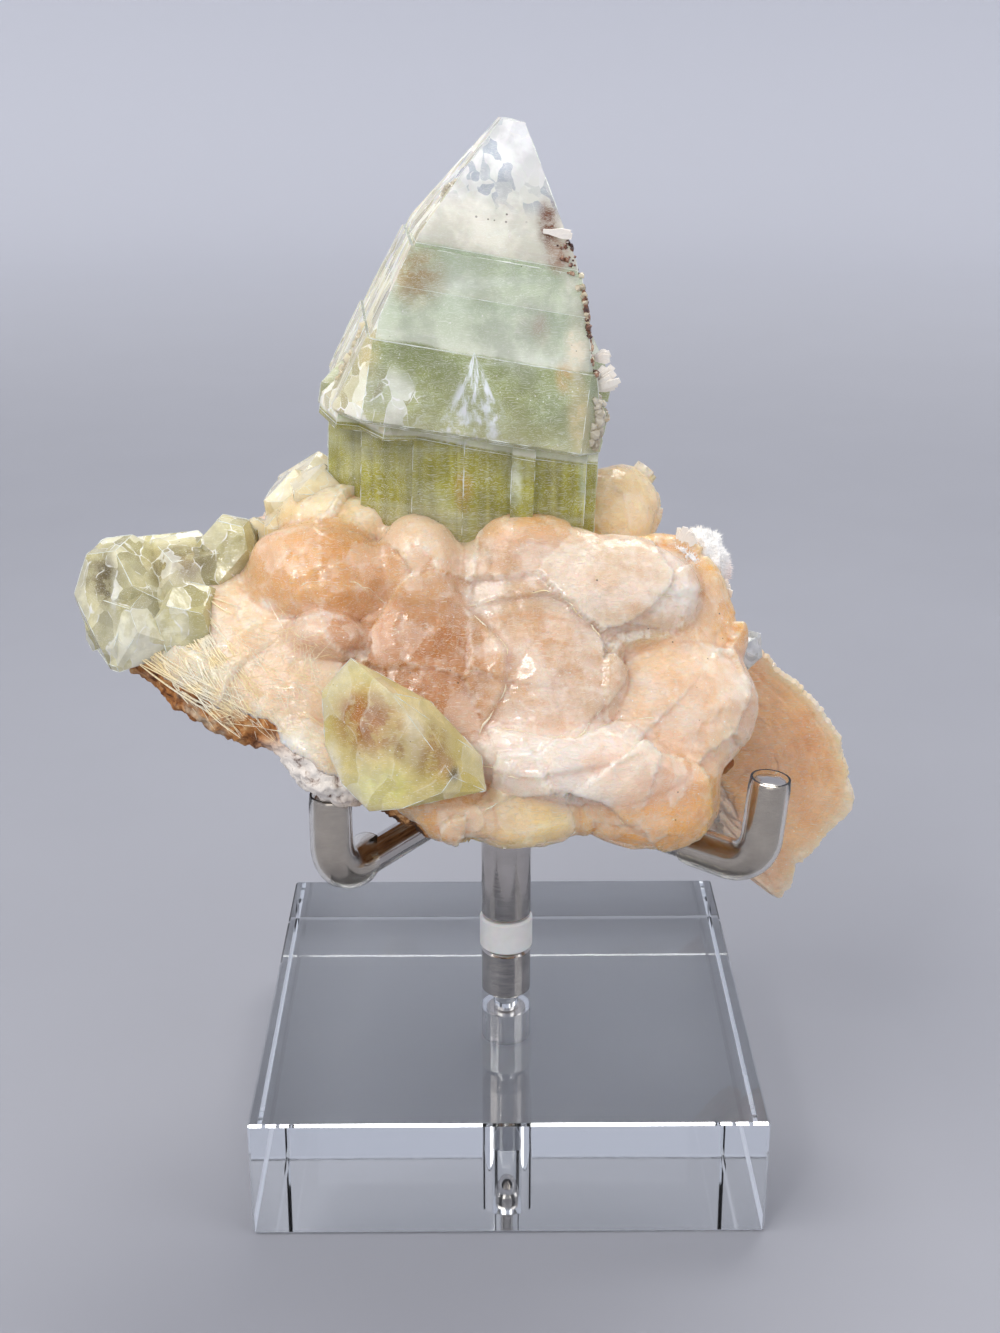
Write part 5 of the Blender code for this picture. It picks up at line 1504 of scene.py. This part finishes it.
def main_crystal_look():
    """Olive below, mint bands up the pyramid, painted facet shade at the clear tip, stained down the right
    edge.
    """
    look = Look("green_crystal", {"IOR": 1.537, "Coat Roughness": 0.03,
                                  "Subsurface Weight": 0.5, "Subsurface Scale": 0.005,
                                  "Subsurface Radius": (0.8, 1.0, 0.8)})
    height = look.height_along(MAIN_AXIS, MAIN_MIDDLE)
    flat = look.stretched((0.05, 0.05, 0.9), (1.4, -10.4, 0))
    upright = look.stretched((1.0, 1.0, 0.05), (0, -10.4, 0))
    bands = look.noise(0.55, 3.0, 0.55, vector=flat)
    ledges = look.noise(1.8, 3.0, 0.6, vector=flat)
    columns = look.noise(0.3, 3.0, 0.5, vector=upright)
    wisps = look.noise(0.16, 4.0, 0.55)
    cloud = look.noise(0.10, 3.0, 0.5)
    low = look.fit(height, -0.2, -0.5)
    level = look.math("ADD", height, look.times(look.math("SUBTRACT", wisps, 0.5), 1.2))
    zones = look.ramp(
        look.times(look.math("SUBTRACT", level, MAIN_LOW), 1 / MAIN_TALL),
        *[((z - MAIN_LOW) / MAIN_TALL, rgb(*tone)) for z, tone in MAIN_ZONES])
    shades = look.ramp(
        columns, (0.32, rgb(138, 132, 28)), (0.48, rgb(188, 182, 62)), (0.58, rgb(158, 150, 40)),
        (0.70, rgb(228, 222, 130)))
    colour = look.mix(look.times(low, 0.8), zones, shades)
    colour = look.over(
        colour,
        ((230, 236, 224), look.fit(cloud, 0.42, 0.65, 0.0, 0.22)),
        ((236, 242, 234), look.fit(bands, 0.5, 0.7, 0.0, 0.25)))
    # Glassy facets: jumbled at the lower left and down the left side, long and streaky at the tip.
    tone, line = look.jumble(2.3, 0.035, look.stretched((1.0, 1.0, 0.55), (0, 20, 0)))
    facet = look.part(tone, "X")
    aside = look.vector("DOT_PRODUCT", look.node("NewGeometry").outputs["Normal"], (-1.0, 0.0, 0.0))
    left_side = look.times(look.fit(aside, 0.45, 0.6), look.fit(height, -0.2, 0.2))
    corner = look.spot((-16.5, -18.0, 121.5), (6.5, 8.0, 5.6), 0.5)
    jumbled = look.math("MAXIMUM", left_side, corner)
    # Cream on the left side; each jumbled facet there and at the lower left corner is painted darker or
    # lighter, as light would fall on it: painted shade and highlight
    colour = look.over(
        colour,
        ((228, 218, 182), left_side, 0.75),
        ((150, 140, 96), jumbled, look.fit(facet, 0.4, 0.1, 0.0, 0.6)),
        ((248, 250, 240), jumbled, look.fit(facet, 0.6, 0.9, 0.0, 0.7)))
    long_tone, long_line = look.jumble(1.7, 0.03, look.stretched((1.0, 1.0, 0.4), (0, 10, 0)))
    top = look.fit(height, 30.0, 33.0)
    streak = look.part(long_tone, "Y")
    # The tip's streaky facets painted blue-grey and white: painted shade and highlight
    colour = look.over(
        colour,
        ((172, 182, 200), top, look.fit(streak, 0.36, 0.1, 0.0, 0.7)),
        ((255, 255, 255), top, look.fit(streak, 0.6, 0.85, 0.0, 0.8)))
    # Pale lines where facets meet, partly chipped and partly painted highlight
    lines = look.math("MAXIMUM", look.times(jumbled, line), look.times(top, long_line))
    broken = look.fit(look.noise(0.7, 2.0), 0.42, 0.58)
    colour = look.over(colour, ((254, 255, 250), lines, broken))
    colour = look.patched(colour, cloud, MAIN_STAINS)
    colour = look.over(colour, ((244, 250, 255), look.streaked_fan((-4.6, -16.8, 127.6), 13.0, 0.56)))
    threads = look.hairs(2.2, 0.08, ((0, -12, 0), (0, -50, 10), (0, 40, -20)), 0.62, 0.67)
    # Threads, and painted glints as tiny white dots
    colour = look.over(
        colour,
        ((250, 252, 246), threads, 0.5),
        ((255, 255, 252), look.dots(0.8, 0.10), 0.85))
    row = look.spot((-1.0, -9.5, 144.5), (7.0, 9.0, 1.4), 0.2)
    peppered = look.times(look.fit(look.cells(0.9), 0.2, 0.12), row)
    specks = look.math("MAXIMUM", look.dots(0.55, 0.06, 0.09), peppered)
    colour = look.over(colour, ((72, 54, 44), specks, 0.8))
    look.set("Base Color", colour)
    clear = look.math("ADD", look.fit(height, 18.0, 36.0, 0.20, 0.12),
                      look.fit(wisps, 0.40, 0.64, 0.2, -0.08))
    look.set("Transmission Weight", look.times(clear, look.fit(left_side, 0.0, 1.0, 1.0, 0.2)))
    look.set("Coat Weight", look.fit(left_side, 0.0, 1.0, 0.3, 0.0))
    look.set("Roughness", look.fit(cloud, 0.35, 0.7, 0.04, 0.12))
    ribs = look.times(look.noise(1.2, 2.0, 0.5, vector=upright), low)
    tilt = look.math("MAXIMUM", look.times(jumbled, 0.4), look.times(top, 0.3))
    tilt = look.math("MAXIMUM", tilt, 0.06)
    look.bumps((ledges, 0.06, 0.3), (ribs, 0.30, 0.5), (look.noise(0.35, 3.0, 0.55), 0.14, 0.3),
               normal=look.tilted(tone, tilt, (0.5, 0.9, 0.5)))
    look.absorb((0.80, 0.88, 0.66), 4.0)
    return look


def growth_steps(name, node, look, heights):
    """Thin bright lines where a crystal's growth paused: cuts across its axis, thinning here and there."""
    built = bmesh.new()
    for height in heights:
        bm = node_bmesh(node)
        middle = MAIN_MIDDLE + MAIN_AXIS * height
        cut = bmesh.ops.bisect_plane(
            bm, geom=bm.verts[:] + bm.edges[:] + bm.faces[:], plane_co=middle, plane_no=MAIN_AXIS)
        for item in cut["geom_cut"]:
            if isinstance(item, bmesh.types.BMEdge):
                start, end = (vert.co.copy() for vert in item.verts)
                route = evenly([start, end], 0.6)
                radii = [max(0.015, 0.05 + 0.06 * noise.noise(place * 0.5)) for place in route]
                sweep(built, route, radii, 4)
        bm.free()
    piece(name, built, look, smooth=80)


stage()
lights()
camera()
ACRYLIC = acrylic_look()
STEEL = steel_look()
NYLON = nylon_look()
VINYL = vinyl_look()
acrylic_base(ACRYLIC)
post_pieces(STEEL, NYLON)
screw_piece(STEEL)
for arm_name in ARMS:
    arm_pieces(arm_name, STEEL, VINYL)
finish_node("arm_hub", STEEL)

STONE = stone_body()
shape_stone(STONE)
STILBITE = stilbite_look()
MATRIX = matrix_look()
above = stone_part(STONE, 0.0, PARTING_TOP)
below = stone_part(STONE, -0.05, PARTING_BOTTOM)
STONE_TREE = tree_of(STONE)
for name, mesh, look, slot, node in (
    ("stilbite_lobes", above, STILBITE, "stilbite", "stilbite_mass"),
    ("matrix_crust", below, MATRIX, "matrix", "matrix"),
):
    mesh.shade_smooth()
    link_mesh(name, mesh, look, (node,))

GREEN = crystal_look(
    "left_crystals", rgb(204, 196, 140), rgb(242, 236, 196), (0.90, 0.92, 0.76), 3.0, (0.05, 0.3),
    (3.2, 0.6, 0.45, 0.9), (
        ((-55.9, -21.2, 96.9), (3.0, 6.0, 5.5), (112, 96, 60), 1.0),
        ((-58.0, -17.0, 95.0), (4.0, 6.0, 7.0), (120, 104, 68), 0.9),
        ((-50.5, -25.0, 90.0), (10.0, 7.0, 6.0), (255, 252, 222), 0.95),
        ((-54.4, -22.0, 94.8), (0.9, 4.0, 4.6), (252, 254, 248), 0.9),
        ((-46.0, -18.0, 98.0), (7.0, 6.0, 4.4), (146, 122, 78), 0.8),
        ((-57.0, -21.0, 89.0), (2.6, 4.0, 1.4), (252, 250, 236), 0.9)))
YELLOW = crystal_look(
    "front_crystal", rgb(222, 202, 116), rgb(240, 224, 162), (0.90, 0.88, 0.60), 4.0, (0.08, 0.3),
    (5.0, 0.25, 0.2, 0.25), (
        ((-18.4, -39.5, 83.2), (7.0, 8.0, 6.4), (178, 114, 34), 1.0),
        ((-20.5, -38.5, 84.5), (2.6, 5.0, 3.0), (190, 124, 50), 0.8),
        # Amber tone, with a painted dark reflection on the right facets
        ((-10.5, -40.5, 79.5), (4.0, 6.0, 5.4), (176, 134, 72), 0.9),
        ((-14.5, -40.0, 79.6), (1.5, 4.0, 2.4), (160, 110, 58), 0.7),
        ((-17.0, -41.0, 74.5), (5.4, 4.0, 4.0), (236, 234, 142), 0.85),
        ((-12.6, -40.5, 82.0), (2.2, 5.0, 6.0), (246, 232, 196), 0.8),
        ((-8.6, -40.5, 77.0), (2.2, 5.0, 3.0), (202, 158, 106), 0.7),
        ((-7.6, -40.0, 75.8), (1.2, 4.0, 1.6), (90, 74, 58), 0.85),
        ((-23.6, -40.0, 76.0), (1.7, 4.0, 6.0), (255, 248, 228), 0.9)))
CREAM = crystal_look(
    "shoulder_crystals", rgb(244, 220, 170), rgb(252, 238, 204), (0.98, 0.92, 0.78), 3.0, (0.03, 0.2),
    (2.6, 0.3, 0.3, 0.6), (
        ((-25.0, -10.0, 105.0), (4.0, 6.0, 4.0), (230, 196, 142), 0.5),))
CHIP = crystal_look(
    "grey_crystal", rgb(214, 220, 224), rgb(244, 246, 248), (0.94, 0.96, 1.0), 4.0, (0.2, 0.5),
    (1.6, 0.5, 0.4, 0.8), ())
MAIN = main_crystal_look()
for node, look in (
    ("apophyllite_main", MAIN), ("apophyllite_left", GREEN), ("apophyllite_front", YELLOW),
    ("apophyllite_shoulder", CREAM), ("apophyllite_chip", CHIP),
):
    finish_node(node, look)

for index, (size, yaw, back) in enumerate(FAN_BLADES):
    fan_blade(STILBITE, index, size, yaw, back)
tuft_piece(tuft_look())
NEEDLES = needle_look()
needle_sprays(NEEDLES)
ledge_rims(NEEDLES)
FROST = frost_look()
for name, node, slot, size in (
    ("main_crystal_edges", "apophyllite_main", "apophyllite_green", 0.10),
    ("left_crystal_edges", "apophyllite_left", "apophyllite_green", 0.09),
    ("front_crystal_edges", "apophyllite_front", "apophyllite_yellow", 0.08),
    ("shoulder_crystal_edges", "apophyllite_shoulder", "apophyllite_cream", 0.08),
    ("small_crystal_edges", "apophyllite_chip", "apophyllite_green", 0.07),
):
    edge_frost(name, node, FROST, size)
inner_veils(veil_look())
growth_steps("main_growth_steps", "apophyllite_main", FROST, (-0.7, 12.0, 19.2, 25.0))
crystal_rows("small_edge_crystals", CREAM_ROWS, CREAM)
crystal_rows("brown_edge_crust", BROWN_ROWS, brown_look())
white_flakes(flake_look())
